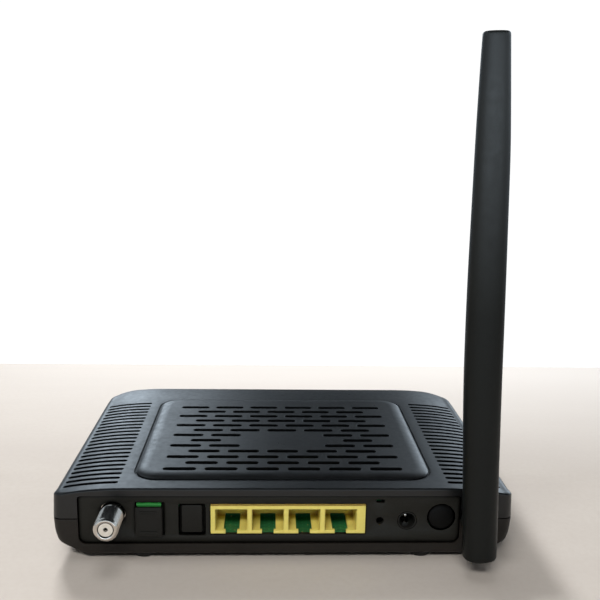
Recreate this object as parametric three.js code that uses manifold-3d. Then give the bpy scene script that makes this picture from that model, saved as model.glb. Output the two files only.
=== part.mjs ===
// Desktop broadband gateway (cable modem) with a folding paddle antenna, shown upright.
// Millimetres, +Z up, table at z = 0. The connector side is the rear and faces -Y, the
// indicators are at the front (+Y); left means -X and right +X.
// Pieces are drawn with the rear face at y = 0. The whole group then moves along Y so that
// the origin lies under the middle of the object, antenna included.
// Cutting bodies overrun the faces they open, so no zero-thickness skin is left.

import * as THREE from 'three';
import { mergeVertices } from 'three/addons/utils/BufferGeometryUtils.js';
import Module from 'manifold-3d';

const wasm = await Module();
wasm.setup();

const { clamp, degToRad, smoothstep } = THREE.MathUtils;

// ---------------------------------------------------------------- driving dimensions
const CASE_HALF = 176.4 / 2;   // half width of the case at the parting line
const CASE_D = 124;            // overall depth of the case
const DRAFT = 0.4;             // the upper shell leans in this much on each side
const Z_FLOOR = 2.2;           // underside of the bottom case, above the table
const Z_PART = 17;             // parting line between the two shells
const PART_GAP = 0.12;         // half of the visible parting line
const Z_TOP = 29.35;           // top surface around the raised vent panel
const WALL = 2.1;              // shell thickness
const R_REAR = 3.5;            // plan radius of the rear corners
const R_FRONT = 13;            // plan radius of the front corners

const PANEL_X0 = -77.8;        // connector panel, left and right ends
const PANEL_X1 = 67.8;
const PANEL_Z0 = 6.9;          // its lower and upper edges
const PANEL_Z1 = 26.1;
const PANEL_Y0 = 1.0;          // its outer and inner faces
const PANEL_Y1 = 2.8;
const PANEL_GAP = 0.25;        // gap line around the panel

const PCB_Z0 = 8.4;            // main board underside
const PCB_Z1 = PCB_Z0 + 1.6;   // main board upper face

// connector axes along Y, as [x, z]
const COAX_AXIS = [-65.2, 18.7];
const RESET_AXIS = [37.0, 15.7];
const DC_AXIS = [47.6, 15.7];
const BUTTON_AXIS = [60.8, 17.1];
const BUTTON_R = 5.2;
const OPTICAL_X = -51.25;      // optical adapter centre
const BLANK_X = -35.05;        // blanked telephone port centre
const LAN_X0 = -28.0;          // four-port network jack
const LAN_X1 = 31.4;
const LAN_Z0 = 10.3;
const LAN_Z1 = 22.4;

const ANT_X = 72.5;            // antenna swivel axis, along Y in the parting plane
const ANT_Z = Z_PART;
const FOLD_Y = -12;            // antenna fold pin, along the antenna's own X
const HUB_R = 3.6;

const LED_Z = 20.6;
const LEDS = Array.from({ length: 8 }, (_, i) => -35 + 10 * i);

// four [x, y] places, mirrored left and right
const fourPlaces = (halfX, rearY, frontY) =>
  [[-halfX, rearY], [halfX, rearY], [-halfX, frontY], [halfX, frontY]];
const POSTS = fourPlaces(61, 30, 105);        // case screws
const FEET = fourPlaces(53.8, 6.4, 97);
const FOOT_R = 4.75;
const BOARD_SCREWS = [[-73, 72], [73, 72]];

// ---------------------------------------------------------------- finishes
const FINISH = {
  topCover: { color: 0x3c444c, roughness: 0.5 },
  bottomCase: { color: 0x2b2f33, roughness: 0.55 },
  antennaPlastic: { color: 0x2b2f33, roughness: 0.5 },
  panel: { color: 0x282826, roughness: 0.5 },
  rubber: { color: 0x1d1b19, roughness: 0.9 },
  board: { color: 0x17603a, roughness: 0.45 },
  chip: { color: 0x1c1d1f, roughness: 0.5 },
  insulator: { color: 0xe8e4da, roughness: 0.5 },
  opticalGreen: { color: 0x1f9a3c, roughness: 0.45 },
  ceramic: { color: 0xf2efe8, roughness: 0.3 },
  dustPlug: { color: 0x262626, roughness: 0.6 },
  fibre: { color: 0xf0d24a, roughness: 0.4 },
  portBlank: { color: 0x242424, roughness: 0.55 },
  jackYellow: { color: 0xe0cf5a, roughness: 0.45 },
  resetButton: { color: 0x3a3a3a, roughness: 0.5 },
  dcHousing: { color: 0x1a1a1a, roughness: 0.45 },
  powerButton: { color: 0x303030, roughness: 0.5 },
  capacitor: { color: 0x2a2c3a, roughness: 0.35 },
  inductor: { color: 0x4a4a4c, roughness: 0.6 },
  lightGuide: { color: 0xdfe6e8, roughness: 0.2 },
  cable: { color: 0x202020, roughness: 0.5 },
  radiator: { color: 0x1d6b46, roughness: 0.5 },
  screw: { color: 0xb4b6b4, roughness: 0.35, metalness: 1 },
  shieldCan: { color: 0xb4b6b4, roughness: 0.4, metalness: 1 },
  nickel: { color: 0xc9c4bb, roughness: 0.25, metalness: 1 },
  dullNickel: { color: 0xc9c4bb, roughness: 0.3, metalness: 1 },
  gold: { color: 0xc9a24a, roughness: 0.3, metalness: 1 },
  transceiver: { color: 0xa89a72, roughness: 0.4, metalness: 1 },
  heatsink: { color: 0x8d9092, roughness: 0.4, metalness: 1 },
};

// ---------------------------------------------------------------- solids
// Welds a three.js geometry, drops collapsed triangles and turns it right side out.
function solid(geometry) {
  let welded = geometry.clone();
  welded.deleteAttribute('normal');
  welded.deleteAttribute('uv');
  welded = mergeVertices(welded, 1e-4);
  const source = welded.index.array;
  const pos = welded.getAttribute('position').array;
  const kept = [];
  for (let i = 0; i < source.length; i += 3) {
    const [a, b, c] = source.subarray(i, i + 3);
    if (a !== b && b !== c && a !== c) kept.push(a, b, c);
  }
  let volume = 0;
  for (let i = 0; i < kept.length; i += 3) {
    const [a, b, c] = [3 * kept[i], 3 * kept[i + 1], 3 * kept[i + 2]];
    volume += pos[a] * (pos[b + 1] * pos[c + 2] - pos[b + 2] * pos[c + 1])
            - pos[a + 1] * (pos[b] * pos[c + 2] - pos[b + 2] * pos[c])
            + pos[a + 2] * (pos[b] * pos[c + 1] - pos[b + 1] * pos[c]);
  }
  if (volume < 0) {
    for (let i = 0; i < kept.length; i += 3) {
      [kept[i + 1], kept[i + 2]] = [kept[i + 2], kept[i + 1]];
    }
  }
  return new wasm.Manifold(new wasm.Mesh({
    numProp: 3,
    vertProperties: new Float32Array(pos),
    triVerts: new Uint32Array(kept),
  }));
}
const join = (...bodies) => bodies.reduce((sum, body) => sum.add(body));
const cut = (body, ...tools) => tools.reduce((rest, tool) => rest.subtract(tool), body);

function box(x0, x1, y0, y1, z0, z1) {
  const geometry = new THREE.BoxGeometry(x1 - x0, y1 - y0, z1 - z0);
  geometry.translate((x0 + x1) / 2, (y0 + y1) / 2, (z0 + z1) / 2);
  return solid(geometry);
}
const centredBox = (x, halfX, ...yzSpans) => box(x - halfX, x + halfX, ...yzSpans);
// two boxes either side of x, each reaching from `inner` to `outer`
const boxPair = (x, inner, outer, ...yzSpans) =>
  [box(x - outer, x - inner, ...yzSpans), box(x + inner, x + outer, ...yzSpans)];

const polyShape = (points) => new THREE.Shape(points.map(([x, y]) => new THREE.Vector2(x, y)));

function rectShape(x0, x1, y0, y1, radius = 0) {
  if (radius === 0) return polyShape([[x0, y0], [x1, y0], [x1, y1], [x0, y1]]);
  const shape = new THREE.Shape();
  const quarter = Math.PI / 2;
  shape.moveTo(x0 + radius, y0);
  shape.lineTo(x1 - radius, y0);
  shape.absarc(x1 - radius, y0 + radius, radius, -quarter, 0, false);
  shape.lineTo(x1, y1 - radius);
  shape.absarc(x1 - radius, y1 - radius, radius, 0, quarter, false);
  shape.lineTo(x0 + radius, y1);
  shape.absarc(x0 + radius, y1 - radius, radius, quarter, 2 * quarter, false);
  shape.lineTo(x0, y0 + radius);
  shape.absarc(x0 + radius, y0 + radius, radius, 2 * quarter, 3 * quarter, false);
  return shape;
}

// a round-ended slot lying along x, with `steps` facets on each end
function stadium(x, y, halfLength, halfWidth, steps) {
  const points = [];
  for (const side of [1, -1]) {
    for (let i = 0; i <= steps; i++) {
      const angle = (-side * Math.PI) / 2 + (Math.PI * i) / steps;
      points.push([
        x + side * (halfLength - halfWidth) + halfWidth * Math.cos(angle),
        y + halfWidth * Math.sin(angle),
      ]);
    }
  }
  return polyShape(points);
}

const unit = (x, y, z) => new THREE.Vector3(x, y, z);
const AXES = {
  z: [unit(1, 0, 0), unit(0, 1, 0), unit(0, 0, 1)],
  y: [unit(1, 0, 0), unit(0, 0, 1), unit(0, 1, 0)],
  x: [unit(0, 1, 0), unit(0, 0, 1), unit(1, 0, 0)],
};
// a flat shape pushed along an axis: 'z' reads it as (x, y), 'y' as (x, z), 'x' as (y, z)
function prism(shape, axis, from, to, curveSegments = 2) {
  const options = { depth: to - from, bevelEnabled: false, curveSegments };
  const geometry = new THREE.ExtrudeGeometry(shape, options);
  geometry.translate(0, 0, from);
  geometry.applyMatrix4(new THREE.Matrix4().makeBasis(...AXES[axis]));
  return solid(geometry);
}

// a turned piece: profile is [radius, station] pairs along the axis through `centre`,
// which reads as [x, y] for 'z', [x, z] for 'y' and [y, z] for 'x'
function turned(profile, axis, centre, segments) {
  const points = profile.map(([radius, station]) => new THREE.Vector2(radius, station));
  const geometry = new THREE.LatheGeometry(points, segments);
  if (axis === 'z') {
    geometry.rotateX(Math.PI / 2);
    geometry.translate(centre[0], centre[1], 0);
  } else if (axis === 'y') {
    geometry.translate(centre[0], 0, centre[1]);
  } else {
    geometry.rotateZ(-Math.PI / 2);
    geometry.translate(0, centre[0], centre[1]);
  }
  return solid(geometry);
}
const rod = (axis, centre, radius, from, to, segments = 16) =>
  turned([[0, from], [radius, from], [radius, to], [0, to]], axis, centre, segments);
const uprightRods = (places, ...size) => places.map((place) => rod('z', place, ...size));

// a closed skin through rings that all have the same number of points
function skin(rings) {
  const count = rings[0].length;
  const index = [];
  for (let k = 0; k + 1 < rings.length; k++) {
    for (let i = 0; i < count; i++) {
      const j = (i + 1) % count;
      const lower = k * count;
      const upper = lower + count;
      index.push(lower + i, lower + j, upper + j, lower + i, upper + j, upper + i);
    }
  }
  const cap = (k, flip) => {
    const outline = rings[k].map(([x, y]) => new THREE.Vector2(x, y));
    for (const [a, b, c] of THREE.ShapeUtils.triangulateShape(outline, [])) {
      const triangle = flip ? [a, c, b] : [a, b, c];
      index.push(...triangle.map((i) => k * count + i));
    }
  };
  cap(0, true);
  cap(rings.length - 1, false);
  const geometry = new THREE.BufferGeometry();
  geometry.setAttribute('position', new THREE.Float32BufferAttribute(rings.flat(2), 3));
  geometry.setIndex(index);
  return solid(geometry);
}

// a round bar swept along a curve
function cable(points, radius, steps, sides) {
  const extrudePath = new THREE.CatmullRomCurve3(points.map((p) => new THREE.Vector3(...p)));
  const section = polyShape(Array.from({ length: sides }, (_, i) => {
    const angle = (2 * Math.PI * i) / sides;
    return [radius * Math.cos(angle), radius * Math.sin(angle)];
  }));
  return solid(new THREE.ExtrudeGeometry(section, { steps, extrudePath, bevelEnabled: false }));
}

// ---------------------------------------------------------------- assembly
const model = new THREE.Group();

function add(name, body, finish, parent = model) {
  const { vertProperties, triVerts } = body.getMesh();
  const geometry = new THREE.BufferGeometry();
  const positions = new Float32Array(vertProperties);
  geometry.setAttribute('position', new THREE.BufferAttribute(positions, 3));
  geometry.setIndex(Array.from(triVerts));
  geometry.computeVertexNormals();
  const material = new THREE.MeshStandardMaterial({ ...finish, flatShading: true });
  const mesh = new THREE.Mesh(geometry, material);
  mesh.name = name;
  parent.add(mesh);
}
const sideName = (x) => (x < 0 ? 'left' : 'right');
const cornerName = (x, y) => `${y < 50 ? 'rear' : 'front'}_${sideName(x)}`;

// ---------------------------------------------------------------- case outline
const SHIFT_FROM = 60;         // rings wider than this half width shift towards +X,
const SHIFT_RATE = 0.016;      // by this share of the excess

// plan ring of the case; height is a number or a function of (x, y)
function planRing(half, y0, y1, rearRadius, frontRadius, height) {
  const shift = Math.max(0, half - SHIFT_FROM) * SHIFT_RATE;
  // corner centre x and y, radius, start angle in quarter turns, steps
  const corners = [
    [-half + rearRadius, y0 + rearRadius, rearRadius, 2, 3],
    [half - rearRadius, y0 + rearRadius, rearRadius, 3, 3],
    [half - frontRadius, y1 - frontRadius, frontRadius, 0, 5],
    [-half + frontRadius, y1 - frontRadius, frontRadius, 1, 5],
  ];
  const ring = [];
  for (const [centreX, centreY, radius, start, steps] of corners) {
    for (let i = 0; i <= steps; i++) {
      const angle = (Math.PI / 2) * (start + i / steps);
      const x = centreX + shift + radius * Math.cos(angle);
      const y = centreY + radius * Math.sin(angle);
      ring.push([x, y, typeof height === 'function' ? height(x, y) : height]);
    }
  }
  return ring;
}
const planSkin = (rows) => skin(rows.map((row) => planRing(...row)));

// top surface, falling away towards the sides and the front
function crown(x, y) {
  const sideways = clamp((Math.abs(x) - 60) / 24.4, 0, 1);
  const forwards = Math.max(0, y - 101) / 21;
  return Z_TOP - 2.1 * Math.pow(sideways, 2.2) - 1.1 * Math.pow(forwards, 1.5);
}
// crisp rear edge, softer sides and front
const edgeDrop = (y) => 0.7 + 1.6 * smoothstep(y, 0, 7);
const belowCrown = (depth, edgeShare = 0) =>
  (x, y) => crown(x, y) - depth - edgeShare * edgeDrop(y);

// ---------------------------------------------------------------- features of both shells
const panelOpening = (z0, z1) =>
  box(PANEL_X0 - PANEL_GAP, PANEL_X1 + PANEL_GAP, -1, 3.09, z0, z1);
const panelRib = (x1, z0, z1) => box(PANEL_X0 - 0.2, x1, 3.1, 4.4, z0, z1);
const antennaSaddle = (z0, z1) => box(ANT_X - 6.2, ANT_X + 6.3, 4.3, 6.1, z0, z1);
const antennaBore = () => rod('y', [ANT_X, ANT_Z], HUB_R + 0.25, -1, 8);

// ---------------------------------------------------------------- top cover
const PILLOW_HALF = 58.3;      // raised vent panel, half width at its foot
const PILLOW_Y0 = 8.4;         // its rear foot
const PILLOW_Y1 = 100.2;       // its front foot
const PILLOW_RISE = 1.25;      // its height
const GROOVE_Z = Z_TOP - 0.45; // bottom of the fine groove round its foot
const ROOF = 2.2;              // thickness of the top

// inset from the raised panel's foot: sides, rear, front
const pillowRow = (side, rear, front, rearRadius, frontRadius, height) =>
  [PILLOW_HALF - side, PILLOW_Y0 + rear, PILLOW_Y1 - front, rearRadius, frontRadius, height];

function coverShell() {
  // columns: half width, rear y, front y, rear radius, front radius, height
  const upperHalf = CASE_HALF - DRAFT;
  const outer = planSkin([
    [CASE_HALF, 0, CASE_D, R_REAR, R_FRONT, Z_PART + PART_GAP],
    [upperHalf, 0, CASE_D - DRAFT, R_REAR, R_FRONT, belowCrown(0, 1)],
    [upperHalf - 0.9, 0.22, CASE_D - 1.3, R_REAR, R_FRONT - 0.7, belowCrown(0, 0.36)],
    [upperHalf - 2.6, 0.75, CASE_D - 3.3, R_REAR, R_FRONT - 2, crown],
    [CASE_HALF - 6.5, 2, CASE_D - 7, 4.5, 11, crown],
    [CASE_HALF - 11, 3.5, CASE_D - 11, 5, 11, crown],
    [CASE_HALF - 19, 6, CASE_D - 17, 7, 10, crown],
    pillowRow(-1.0, -1.0, -1.0, 10, 10, crown),
    pillowRow(-0.7, -0.7, -0.7, 9.7, 9.7, GROOVE_Z),
    pillowRow(0, 0, 0, 9, 9, GROOVE_Z),
    pillowRow(0.45, 0.45, 0.45, 8.6, 8.6, Z_TOP + 0.38 * PILLOW_RISE),
    pillowRow(2.1, 2.2, 2.1, 7, 7, Z_TOP + 0.8 * PILLOW_RISE),
    pillowRow(5.2, 4.9, 5.2, 5, 5, Z_TOP + PILLOW_RISE),
  ]);
  const innerHalf = CASE_HALF - WALL;
  const innerFront = CASE_D - WALL;
  const inner = planSkin([
    [innerHalf, WALL, innerFront, 2, R_FRONT - WALL, Z_PART - 2],
    [innerHalf, WALL, innerFront, 2, R_FRONT - WALL, belowCrown(2.6, 0.75)],
    [CASE_HALF - 5.0, WALL + 0.7, CASE_D - 5.6, 3, R_FRONT - 4, belowCrown(ROOF)],
    [CASE_HALF - 11, 4.2, CASE_D - 11, 5, 9, belowCrown(ROOF)],
    [CASE_HALF - 19, 6, CASE_D - 17, 7, 10, belowCrown(ROOF)],
    pillowRow(1.4, 1.4, 1.4, 8, 8, Z_TOP - ROOF),
    pillowRow(5.2, 5.2, 5.2, 5.4, 5.4, Z_TOP + PILLOW_RISE - ROOF),
  ]);
  return cut(outer, inner);
}

// rows of six and five slots in turn, with a blank field in the middle of the panel
function panelSlots() {
  const length = 13.3;
  const width = 2.9;
  const pitchX = 16.45;
  const pitchY = 5.925;
  const rearRowY = 15.4;
  const rows = 13;
  // row counted from the front: slots nearer the middle than this many pitches are left out
  const blankWithin = { 7: 1, 8: 1.5, 9: 1 };
  const slots = [];
  for (let row = 0; row < rows; row++) {
    const fromFront = rows - row;
    const count = fromFront % 2 === 1 ? 6 : 5;
    for (let i = 0; i < count; i++) {
      const k = i - (count - 1) / 2;
      if (Math.abs(k) < (blankWithin[fromFront] ?? 0)) continue;
      const y = rearRowY + row * pitchY;
      const outline = stadium(k * pitchX - 0.15, y, length / 2, width / 2, 3);
      slots.push(prism(outline, 'z', 26, 32));
    }
  }
  return slots;
}

// long cooling slots on each side of the raised panel
function sideSlots() {
  const x0 = 63.6;
  const x1 = 84.4;
  const rearY = 5.9;
  const pitch = 4.07;
  const slots = [];
  for (let i = 0; i < 23; i++) {
    for (const side of [-1, 1]) {
      const outline = stadium((side * (x0 + x1)) / 2, rearY + i * pitch, (x1 - x0) / 2, 1.0, 2);
      slots.push(prism(outline, 'z', 23.4, 32));
    }
  }
  return slots;
}

function topCover() {
  const body = join(coverShell(),
    ...uprightRods(POSTS, 3.2, 12.2, 27.6, 10),
    panelRib(PANEL_X1 - 2, 24.4, 27.6),
    antennaSaddle(Z_PART + PART_GAP, 27.4));
  return cut(body,
    panelOpening(10, PANEL_Z1 + PANEL_GAP),
    antennaBore(),
    ...uprightRods(POSTS, 1.45, 11, 21.5, 8),
    ...LEDS.map((x) => rod('y', [x, LED_Z], 0.95, CASE_D - 4, CASE_D + 1, 8)),
    ...panelSlots(),
    ...sideSlots());
}

// ---------------------------------------------------------------- bottom case
function baseShell() {
  // columns: height, inset of sides and front, inset of rear
  const hull = [
    [Z_FLOOR, 12, 1.2], [2.9, 9.7, 0.25], [3.8, 7.9, 0], [5, 5.8, 0], [6.2, 3.4, 0],
    [7.4, 1.8, 0], [9, 1.05, 0], [12, 0.35, 0], [Z_PART - PART_GAP, 0, 0],
  ];
  // columns: height, inset of sides and front, front corner radius
  const cavity = [
    [4.3, 12.5, R_FRONT - 2], [5.6, 9.0, R_FRONT - 2], [7.2, 6.0, R_FRONT - 2],
    [9.2, 3.9, R_FRONT - 2], [12.4, 2.6, R_FRONT - 2], [19, WALL, R_FRONT - WALL],
  ];
  const outer = planSkin(hull.map(([z, inset, rear]) =>
    [CASE_HALF - inset, rear, CASE_D - inset, R_REAR, R_FRONT, z]));
  const inner = planSkin(cavity.map(([z, inset, frontRadius]) =>
    [CASE_HALF - inset, WALL, CASE_D - inset, 2, frontRadius, z]));
  return cut(outer, inner);
}

// a round hole with a narrower slot running to the front
const keyhole = (x, y) => [rod('z', [x, y], 3.6, 1, 6, 10), centredBox(x, 1.8, y, y + 9, 1, 6)];

// two columns of eight slots through the floor
function bottomVents() {
  const vents = [];
  for (const x of [-26, 26]) {
    for (let i = 0; i < 8; i++) {
      vents.push(prism(stadium(x, 34 + i * 6, 10, 1.3, 2), 'z', 1, 6));
    }
  }
  return vents;
}

function bottomCase() {
  const floor = 3.2;           // posts and ribs start inside the floor
  const body = join(baseShell(),
    ...uprightRods(POSTS, 3.7, floor, 11.9, 12),
    ...uprightRods(BOARD_SCREWS, 2.8, floor, 8.1, 10),
    panelRib(PANEL_X1, floor, 8.1),
    antennaSaddle(floor, Z_PART - PART_GAP));
  return cut(body,
    panelOpening(PANEL_Z0 - PANEL_GAP, 20),
    antennaBore(),
    ...uprightRods(POSTS, 3.15, 1, 6.2, 12),             // screw head recesses
    ...uprightRods(POSTS, 1.6, 6, 13, 8),
    ...uprightRods(BOARD_SCREWS, 1.2, 4.4, 9, 8),
    ...uprightRods(FEET, FOOT_R + 0.3, 1, 3.1, 14),      // foot recesses
    ...keyhole(-58, 52),
    ...keyhole(58, 52),
    ...bottomVents());
}

// ---------------------------------------------------------------- connector panel
function rearPanel() {
  const outline = rectShape(PANEL_X0, PANEL_X1, PANEL_Z0, PANEL_Z1, 1.2);
  const opening = (...rect) => prism(rectShape(...rect), 'y', 0, 4);
  const hole = (axis, radius, segments) => rod('y', axis, radius, 0, 4, segments);
  const lanGap = 0.3;
  const [resetX] = RESET_AXIS;
  return cut(prism(outline, 'y', PANEL_Y0, PANEL_Y1),
    hole(COAX_AXIS, 5.0, 16),
    opening(OPTICAL_X - 5.5, OPTICAL_X + 5.7, 9.7, 23.4),
    opening(BLANK_X - 5.2, BLANK_X + 5.2, 9.6, 22.8, 0.8),
    opening(LAN_X0 - lanGap, LAN_X1 + lanGap, LAN_Z0 - lanGap, LAN_Z1 + lanGap),
    hole(RESET_AXIS, 1.5, 10),
    opening(resetX - 1.6, resetX + 1.6, 23.1, 24.5),     // small window above the reset hole
    hole(DC_AXIS, 3.8, 16),
    hole(BUTTON_AXIS, BUTTON_R + 0.35, 20));
}

// ---------------------------------------------------------------- feet and screws
function foot(place) {
  const profile = [[0, 0], [4.2, 0], [FOOT_R, 0.6], [FOOT_R, 3.0], [0, 3.0]];
  return turned(profile, 'z', place, 14);
}
// cross-head screw, driven from below
function caseScrew([x, y]) {
  const profile = [[0, 4.0], [2.6, 4.0], [2.8, 4.4], [2.8, 6.1], [1.15, 6.1], [1.15, 18], [0, 18.6]];
  return cut(turned(profile, 'z', [x, y], 12),
    box(x - 2.0, x + 2.0, y - 0.35, y + 0.35, 3, 4.9),
    box(x - 0.35, x + 0.35, y - 2.0, y + 2.0, 3, 4.9));
}
function boardScrew(place) {
  const profile = [[0, 5], [0.95, 5.6], [0.95, PCB_Z1], [2.6, PCB_Z1], [2.4, 11.4], [0, 11.7]];
  return turned(profile, 'z', place, 12);
}

// ---------------------------------------------------------------- main board
function mainBoard() {
  const half = 78.5;
  const rear = 3.2;
  const front = 108;
  const notchX = ANT_X - 7;    // the rear right corner clears the antenna hub
  const outline = polyShape([
    [-half, rear], [notchX, rear], [notchX, 7], [half, 7],
    [half, 96], [68, front], [-68, front], [-half, 96],
  ]);
  return cut(prism(outline, 'z', PCB_Z0, PCB_Z1),
    ...uprightRods(POSTS, 4.1, 7, 12, 12),
    ...uprightRods(BOARD_SCREWS, 1.6, 7, 12, 10));
}

// sheet-metal box, open towards the board
function shieldCan(x0, x1, y0, y1, top) {
  const sheet = 0.4;
  return cut(box(x0, x1, y0, y1, PCB_Z1, top),
    box(x0 + sheet, x1 - sheet, y0 + sheet, y1 - sheet, PCB_Z1 - 1, top - sheet));
}

// ---------------------------------------------------------------- coaxial connector
function addCoaxConnector() {
  const [x, z] = COAX_AXIS;
  const tip = -12;
  const barrel = [[0, tip], [3.95, tip], [4.6, tip + 0.7], [4.6, 3.2], [0, 3.2]];
  add('coax_connector_shell', cut(
    join(turned(barrel, 'y', COAX_AXIS, 20), centredBox(x, 6, 3.1, 14.5, PCB_Z1, z + 5.6)),
    rod('y', COAX_AXIS, 2.95, tip - 1, 3.5)), FINISH.nickel);
  const insulator = [
    [0.8, tip + 0.35], [2.75, tip + 0.35], [2.75, 2.9], [1.5, 2.9],
    [1.5, -9.8], [0.8, -9.8], [0.8, tip + 0.35],
  ];
  add('coax_insulator', turned(insulator, 'y', COAX_AXIS, 16), FINISH.insulator);
  const contact = [
    [0.55, -9.5], [1.25, -9.5], [1.25, 1.5], [0, 1.5], [0, -2], [0.55, -2], [0.55, -9.5],
  ];
  add('coax_centre_contact', turned(contact, 'y', COAX_AXIS, 12), FINISH.gold);
}

// ---------------------------------------------------------------- optical port
function opticalAdapter() {
  const x = OPTICAL_X;
  return cut(centredBox(x, 5, 0.5, 22, PCB_Z1, 23.1),
    centredBox(x, 6, 0, 0.65, 9, 22.2),                  // lower part of the face, set in
    ...boxPair(x, 4.3, 6, 0, 6, 9, 22.2),                // stepped flanks
    ...boxPair(x, 4.65, 6, 0, 3.5, 9, 24),
    centredBox(x, 3.8, 0, 12, 11.6, 20.4),               // plug cavity
    rod('y', [x, 16.0], 2.0, 11, 23, 12));
}
function dustPlug() {
  const x = OPTICAL_X;
  return join(
    prism(rectShape(x - 5.05, x + 5.15, 10.15, 22.1, 0.5), 'y', -1.1, 0.4),
    prism(rectShape(x - 3.5, x + 3.5, 11.9, 20.1, 0.6), 'y', 0.2, 6.2));
}
function addOpticalPort() {
  const x = OPTICAL_X;
  const sleeve = [[1.25, 7], [1.65, 7], [1.65, 19], [1.25, 19], [1.25, 7]];
  const noseZ = 14.6;          // axis of the transceiver nose
  // x, y, z along the fibre, from the adapter to the transceiver
  const fibrePath = [
    [x, 19.6, 16.0], [x, 22.5, 16.0], [-47.5, 26.5, 17.4], [-41, 33, 18.4],
    [-38, 44, 18.2], [-39.5, 53, 17.2], [-45, 58, 16], [-50.4, 55.4, 15],
    [x, 51, noseZ], [x, 47.8, noseZ],
  ];
  add('optical_adapter', opticalAdapter(), FINISH.opticalGreen);
  add('optical_sleeve', turned(sleeve, 'y', [x, 16.0], 14), FINISH.ceramic);
  add('optical_dust_plug', dustPlug(), FINISH.dustPlug);
  add('optical_transceiver', join(
    centredBox(x, 4.5, 29, 43, PCB_Z1, 17.4),
    rod('y', [x, noseZ], 2.6, 42, 47.5, 14)), FINISH.transceiver);
  add('fibre_pigtail', cable(fibrePath, 0.45, 26, 5), FINISH.fibre);
}

// ---------------------------------------------------------------- blanked telephone port
function phonePortBlank() {
  const x = BLANK_X;
  return join(
    prism(rectShape(x - 4.95, x + 4.95, 9.85, 22.55, 0.7), 'y', 2.0, 3.1),
    prism(rectShape(x - 3.9, x + 3.9, 10.95, 21.9, 0.6), 'y', 0.8, 2.4),
    centredBox(x, 5.6, 3.0, 4.2, 12, 20));
}

// ---------------------------------------------------------------- network jack
const LAN_PORTS = [0, 1, 2, 3].map((i) => -20.1 + 14 * i);

function lanJack() {
  const openings = LAN_PORTS.flatMap((x) => [
    centredBox(x, 6.05, 0, 13.6, 11.75, 20.95),          // plug cavity
    centredBox(x, 3.05, 2.2, 18, 9, 12),                 // channel below it
    centredBox(x, 3.05, 13, 18, 9, 12.4),
    centredBox(x, 2.25, 0, 2.6, 9, 12),                  // narrower mouth of the channel
  ]);
  return cut(box(LAN_X0, LAN_X1, 0.7, 17, LAN_Z0, LAN_Z1), ...openings);
}
// eight sloping wires hanging from a bar
function lanContacts(x) {
  const pitch = 1.02;
  const outline = polyShape([
    [3.6, 20.25], [4.1, 20.25], [11.4, 16.9], [11.4, 17.3], [4.0, 20.75], [3.6, 20.75],
  ]);
  const wires = [];
  for (let k = 0; k < 8; k++) {
    const wireX = x + (k - 3.5) * pitch;
    wires.push(prism(outline, 'x', wireX - 0.2, wireX + 0.2));
  }
  return join(centredBox(x, 4.6, 2.4, 3.9, 20.1, 20.8), ...wires);
}
function addNetworkJack() {
  add('lan_jack_housing', lanJack(), FINISH.jackYellow);
  LAN_PORTS.forEach((x, i) => add(`lan_contacts_${i + 1}`, lanContacts(x), FINISH.gold));
  add('lan_transformer_left', box(-22, -4, 24, 38, PCB_Z1, 15.8), FINISH.chip);
  add('lan_transformer_right', box(6, 24, 24, 38, PCB_Z1, 15.8), FINISH.chip);
}

// ---------------------------------------------------------------- reset button
function addReset() {
  add('reset_switch', cut(
    centredBox(RESET_AXIS[0], 3, 6.2, 10.2, PCB_Z1, 19),
    rod('y', RESET_AXIS, 1.45, 5, 8.6, 12)), FINISH.chip);
  const profile = [[0, 3.4], [0.8, 3.4], [1.0, 3.7], [1.0, 8.0], [0, 8.0]];
  add('reset_button', turned(profile, 'y', RESET_AXIS, 12), FINISH.resetButton);
}

// ---------------------------------------------------------------- power inlet
function addPowerInlet() {
  const [x] = DC_AXIS;
  const housing = join(
    centredBox(x, 4.5, 3.1, 17.2, PCB_Z1, 21.2),
    rod('y', DC_AXIS, 3.6, 0.9, 3.2, 20));
  add('dc_jack_housing', cut(housing,
    rod('y', DC_AXIS, 2.95, 0, 12, 20),
    rod('y', DC_AXIS, 1.35, 11, 14.6, 12)), FINISH.dcHousing);
  const pin = [[0, 5.4], [0.6, 5.4], [1.0, 5.9], [1.0, 14.2], [0, 14.2]];
  add('dc_jack_pin', turned(pin, 'y', DC_AXIS, 14), FINISH.nickel);
  const spring = polyShape([
    [4.6, 12.95], [7.6, 13.45], [11.4, 13.0], [11.4, 13.3], [7.6, 13.75], [4.6, 13.25],
  ]);
  add('dc_jack_spring', prism(spring, 'x', x - 0.9, x + 0.9), FINISH.dullNickel);
}

// ---------------------------------------------------------------- power switch
function addPowerSwitch() {
  add('power_switch_body', cut(
    centredBox(BUTTON_AXIS[0], 4.25, 12, 24, PCB_Z1, 21.4),
    rod('y', BUTTON_AXIS, 2.25, 11, 18, 12)), FINISH.chip);
  // slightly domed cap on a thin stem
  const profile = [
    [0, 0.55], [3.0, 0.65], [4.6, 1.0], [BUTTON_R, 1.6], [BUTTON_R, 4.2],
    [1.9, 4.2], [1.9, 14], [0, 14],
  ];
  add('power_button', turned(profile, 'y', BUTTON_AXIS, 20), FINISH.powerButton);
}

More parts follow.
